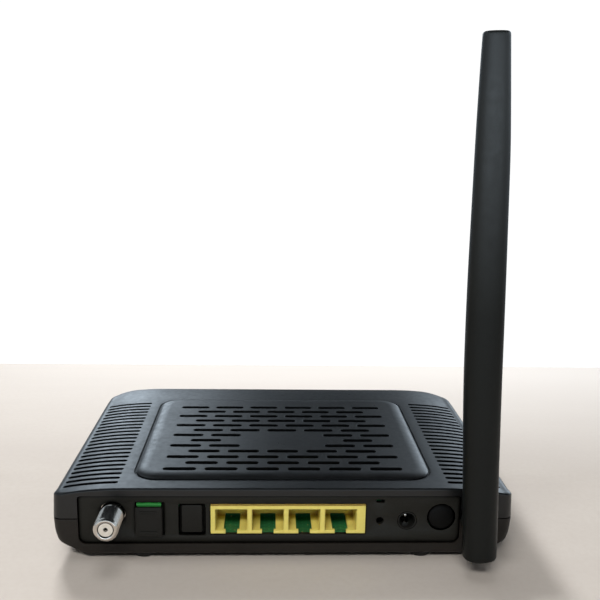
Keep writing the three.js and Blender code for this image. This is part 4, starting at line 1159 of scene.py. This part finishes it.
def blade_section(z):
    """left, right and half thickness at z, on a smooth curve through the stations."""
    table = np.array(BLADE)
    last = len(table) - 1
    i = int(np.clip(np.searchsorted(table[:, 0], z) - 1, 0, last - 1))

    def slope(low, high):
        return (table[high, 1:] - table[low, 1:]) / (table[high, 0] - table[low, 0])

    start_slope, end_slope = slope(max(i - 1, 0), i + 1), slope(i, min(i + 2, last))
    step = table[i + 1, 0] - table[i, 0]
    t = (z - table[i, 0]) / step
    return ((2 * t ** 3 - 3 * t * t + 1) * table[i, 1:]
            + (t ** 3 - 2 * t * t + t) * step * start_slope
            + (-2 * t ** 3 + 3 * t * t) * table[i + 1, 1:]
            + (t ** 3 - t * t) * step * end_slope)


def paddle():
    def end_ring(station, z, inset):
        _, left, right, thick = station
        return blade_ring(z, left + inset, right - inset, thick - inset)

    foot, tip, foot_ease, tip_ease = BLADE[0], BLADE[-1], 1.25, 1.0
    rings = [end_ring(foot, -9.4 + foot_ease * (1 - math.cos(turn)),
                      foot_ease * (1 - math.sin(turn))) for turn in quarter_turn(5)[:-1]]
    for z in [*np.arange(-8.0, 176.5, 4.0), tip[0]]:
        rings.append(blade_ring(z, *blade_section(z)))
    rings += [end_ring(tip, tip[0] + tip_ease * math.sin(turn),
                       tip_ease * (1 - math.cos(turn))) for turn in quarter_turn(5)[1:]]
    return loft(rings)


def build_antenna():
    tongue = [(-1.2, -2.9)]
    for i in range(21):
        angle = 1.5 * math.pi - math.pi * i / 20
        tongue.append((FOLD_Y + 3.2 * math.cos(angle), 3.2 * math.sin(angle)))
    tongue.append((-1.2, 2.9))
    hub = [(0, -1.9), (4.0, -1.9), (4.35, -1.82), (4.5, -1.6), (4.5, -0.7), (4.35, -0.5),
           (HUB_RADIUS, -0.5), (HUB_RADIUS, 3.1), (4.7, 3.1), (4.9, 3.25), (4.9, 3.9),
           (4.75, 4.05), (HUB_RADIUS, 4.05), (HUB_RADIUS, 7.2), (2.9, 8.0), (0, 8.0)]
    make_piece("antenna_knuckle", "hub_plastic", "antenna_hub", turned(hub, "y", 0, 0, 64),
               joins=[prism(tongue, "x", -2.5, 2.5)],
               cuts=[rod("x", FOLD_Y, 0, FOLD_BORE, -4, 4, 32)],
               body="antenna_base", slot="antenna_plastic", matrix=ANTENNA_MATRIX)
    pin = [(0, -5.0), (1.1, -5.0), (1.4, -4.8), (1.4, 4.8), (1.1, 5.0), (0, 5.0)]
    make_piece("antenna_fold_pin", "screw_steel", "antenna_pin", turned(pin, "x", FOLD_Y, 0, 32),
               body="antenna_arm", matrix=ANTENNA_MATRIX)
    lower_corner = [(FOLD_Y + 2.1, -9.6), (FOLD_Y + 6.2, -9.6), (FOLD_Y + 6.2, -5.4)]
    make_piece("antenna_paddle", "antenna_plastic", "antenna_blade", paddle(),
               cuts=[box(-2.85, 2.85, FOLD_Y - 3.6, FOLD_Y + 7, -11, 3.8),
                     rod("z", 0, FOLD_Y + 0.4, 1.0, 3, 10, 20),
                     rod("x", FOLD_Y, 0, FOLD_BORE, -5.3, 5.3, 32),
                     prism(lower_corner, "x", -9, 9),
                     loft([blade_ring(*section, count=24) for section in BLADE_HOLLOW])],
               body="antenna_arm", angle=28, matrix=ANTENNA_MATRIX)


# ------------------------------------------------------------------ CAD nodes that stay
KEPT_NODES = {
    "circuit_board": ["main_board", "antenna_radiator"],
    "screw_steel": ["board_screw_left", "board_screw_right"],
    "tinned_steel": ["tuner_shield_can", "radio_shield_can"],
    "transceiver_metal": ["optical_transceiver"],
    "fibre_jacket": ["fibre_pigtail"],
    "chip_black": ["lan_transformer_left", "lan_transformer_right", "reset_switch",
                   "power_switch_body", "processor_chip", "memory_chip"],
    "heatsink_aluminium": ["processor_heatsink"],
    "capacitor_sleeve_a": ["capacitor_inlet"],
    "capacitor_sleeve_b": ["capacitor_regulator"],
    "ferrite": ["inductor"],
    "cable_black": ["antenna_lead", "antenna_coax"],
}
UNBEVELLED = {"fibre_pigtail", "antenna_lead", "antenna_coax", "capacitor_inlet",
              "capacitor_regulator"}


def dress_kept_nodes():
    for material, names in KEPT_NODES.items():
        for name in names:
            node = NODES[name]
            node.data.materials.clear()
            node.data.materials.append(MATERIALS[material])
            if name not in UNBEVELLED:
                add_bevel(node, 0.18, angle=40)


# ------------------------------------------------------------------ floor, world, lights, camera
def build_floor():
    """a pale table top that ends beyond the modem."""
    far, side = 259 - MID_Y, 1400
    corners = [(-side, -1400), (side, -1400), (side, far), (-side, far)]
    floor = to_object("floor", loft([[(x, y, z) for x, y in corners] for z in (-30, -2, 0)]))
    mat = Material("floor_surface")
    grain = mat.noise(scale=9.0, detail=5.0, rough=0.6, point=mat.stretched((1.0, 3.0, 1.0)))
    fine = mat.noise(scale=420.0, detail=3.0)
    colour = mat.mix(mat.ramp(grain), srgb(208, 202, 196), srgb(215, 210, 204))
    colour = mat.mix(mat.ramp(fine, span=(0.4, 0.7), to=(0, 0.3)), colour, srgb(203, 196, 189))
    position = mat.split(mat.point)
    # Painted light: paler towards the far right, where the table is more brightly lit
    away = mat.math("MULTIPLY", mat.ramp(position["Y"], span=(0.02, 0.19)),
                    mat.ramp(position["X"], span=(-0.25, 0.14), to=(0.22, 1.0)))
    colour = mat.mix(away, colour, srgb(255, 252, 249))
    mat.set("Base Color", colour)
    mat.set("Roughness", mat.ramp(grain, to=(0.5, 0.62)))
    mat.set("Specular IOR Level", 0.04)
    # A glow on the near side keeps the table pale where the lights fall off
    mat.set("Emission Color", colour)
    mat.set("Emission Strength", mat.ramp(position["Y"], span=(-0.16, -0.75), to=(0.0, 0.42)))
    mat.set("Normal", mat.bump(fine, strength=0.08, distance=0.0001))
    floor.data.materials.append(mat.material)


# What shiny surfaces see: degrees clockwise from +Y seen from above, brightness.
SHINE = 5.0             # brightness of a full-scale colour
AROUND = [(-180, 0.7), (-125, 0.8), (-70, 0.4), (-40, 0.3), (-27, 0.4), (-20, 1.4),
          (-15.5, 5.0), (-11, 4.2), (-6.5, 1.7), (-2, 0.12), (8, 0.06), (14, 0.8), (22, 3.0),
          (36, 4.2), (55, 1.4), (125, 0.8), (180, 0.7)]
LOW = [(-180, 3.4), (-150, 2.6), (-125, 0.8), (-70, 0.4), (-18, 0.5), (0, 0.10), (22, 0.4),
       (125, 0.8), (150, 2.6), (180, 3.4)]
OVERHEAD = [(-180, 0.02), (-120, 0.02), (-95, 0.8), (-60, 0.8), (-40, 0.02), (180, 0.02)]
# Where one band gives way to the next: z of the direction, share of the upper band
LOW_TO_AROUND = [(-1.0, 0.0), (0.05, 0.0), (0.26, 1.0), (1.0, 1.0)]
AROUND_TO_OVERHEAD = [(-1.0, 0.0), (0.38, 0.0), (0.58, 1.0), (1.0, 1.0)]


def build_world():
    world = bpy.data.worlds.new("studio")
    bpy.context.scene.world = world
    world.use_nodes = True
    # Brightness depends on the kind of ray, so the world is only met by rays, never aimed at
    world.cycles.sampling_method = "NONE"
    sky = NodeTree(world.node_tree)
    sky.tree.nodes.clear()

    def curve(value, reach, stops):
        """smooth curve over a value that runs from -reach to reach."""
        node = sky.add("ShaderNodeValToRGB")
        sky.put(node.inputs[0], sky.ramp(value, span=(-reach, reach)))
        ramp = node.color_ramp
        ramp.interpolation = "EASE"
        while len(ramp.elements) > 1:
            ramp.elements.remove(ramp.elements[0])
        for i, (at, level) in enumerate(stops):
            share = (at + reach) / (2 * reach)
            element = ramp.elements[0] if i == 0 else ramp.elements.new(share)
            element.position = share
            element.color = (level, level, level, 1)
        return node.outputs["Color"]

    def bearing_curve(table):
        stops = [(math.radians(degrees), level / SHINE) for degrees, level in table]
        return curve(bearing, math.pi, stops)

    def background(colour, strength):
        node = sky.add("ShaderNodeBackground")
        sky.put(node.inputs["Color"], colour)
        node.inputs["Strength"].default_value = strength
        return node.outputs[0]

    def mix_shader(factor, first, second):
        node = sky.add("ShaderNodeMixShader")
        for socket, value in zip(node.inputs, (factor, first, second)):
            sky.put(socket, value)
        return node.outputs[0]

    output = sky.add("ShaderNodeOutputWorld")
    ray = sky.add("ShaderNodeLightPath").outputs
    direction = sky.split(sky.add("ShaderNodeTexCoord").outputs["Generated"])
    bearing = sky.math("ARCTAN2", direction["X"], direction["Y"])
    around, low, overhead = [bearing_curve(table) for table in (AROUND, LOW, OVERHEAD)]
    colour = sky.mix(curve(direction["Z"], 1.0, LOW_TO_AROUND), low, around)
    colour = sky.mix(curve(direction["Z"], 1.0, AROUND_TO_OVERHEAD), colour, overhead)
    colour = sky.mix(1.0, colour, (0.86, 1.0, 1.13, 1), blend_type="MULTIPLY")
    shine = background(colour, SHINE)
    fill = background((1.0, 0.99, 0.98, 1), strength=0.10)
    seen = background((1, 1, 1, 1), strength=1.05)
    lighting = mix_shader(ray["Is Glossy Ray"], fill, shine)
    sky.put(output.inputs["Surface"], mix_shader(ray["Is Camera Ray"], lighting, seen))


def soft_light(name, position, target, size, power, colour, spread=180):
    """area light; position and target in mm, size in metres."""
    light = bpy.data.lights.new(name, "AREA")
    light.spread = math.radians(spread)
    light.shape = "RECTANGLE"
    light.size, light.size_y = size
    light.energy = power
    light.color = colour
    lamp = bpy.data.objects.new(name, light)
    COLLECTION.objects.link(lamp)
    position = Vector(position) - Vector((0, MID_Y, 0))
    target = Vector(target) - Vector((0, MID_Y, 0))
    lamp.location = position * MILLI
    lamp.rotation_mode = "QUATERNION"
    lamp.rotation_quaternion = (target - position).to_track_quat("-Z", "Y")
    lamp.visible_glossy = False


def build_lights():
    # "front" and "back" are the near and far sides seen by the camera
    soft_light("front_softbox", position=(-170, -670, 710), target=(0, 0, 15), size=(0.6, 0.16),
               power=1.5, colour=(1.0, 0.955, 0.905), spread=96)
    soft_light("top_softbox", position=(-60, 40, 1200), target=(0, 60, 0), size=(0.4, 0.4),
               power=2.0, colour=(1.0, 0.98, 0.96))
    soft_light("back_softbox", position=(-408, 935, 870), target=(0, 60, 0), size=(0.3, 0.3),
               power=13.6, colour=(1.0, 0.99, 0.98))


def set_view():
    settings = bpy.context.scene.view_settings
    settings.view_transform = "Standard"
    settings.look = "None"
    settings.exposure = 0.0
    settings.gamma = 1.0


def build_camera():
    """looks at the rear face, a little from above."""
    lens = bpy.data.cameras.new("camera")
    camera = bpy.data.objects.new("camera", lens)
    COLLECTION.objects.link(camera)
    yaw, pitch, roll = [math.radians(angle) for angle in (2.40535, 11.96088, 1.07563)]
    forward = Vector((math.sin(yaw) * math.cos(pitch), math.cos(yaw) * math.cos(pitch),
                      -math.sin(pitch)))
    level_right = Vector((math.cos(yaw), -math.sin(yaw), 0))
    level_up = level_right.cross(forward)
    right = math.cos(roll) * level_right + math.sin(roll) * level_up
    up = -math.sin(roll) * level_right + math.cos(roll) * level_up
    rotation = Matrix((right, up, -forward)).transposed()
    position = (-7.025 * MILLI, (-276.064 - MID_Y) * MILLI, 161.099 * MILLI)
    camera.matrix_world = Matrix.Translation(position) @ rotation.to_4x4()
    lens.sensor_width = 36.0
    lens.lens = 47.1
    lens.clip_start, lens.clip_end = 0.01, 20
    bpy.context.scene.camera = camera


for build in (build_cover, build_base, build_panel, build_feet, build_case_screws, build_coax,
              build_optical_port, build_phone_blank, build_lan_jack, build_lan_springs,
              build_reset_button, build_power_inlet, build_power_button, build_light_guide,
              build_antenna, dress_kept_nodes, build_floor, build_world, build_lights,
              set_view, build_camera):
    build()
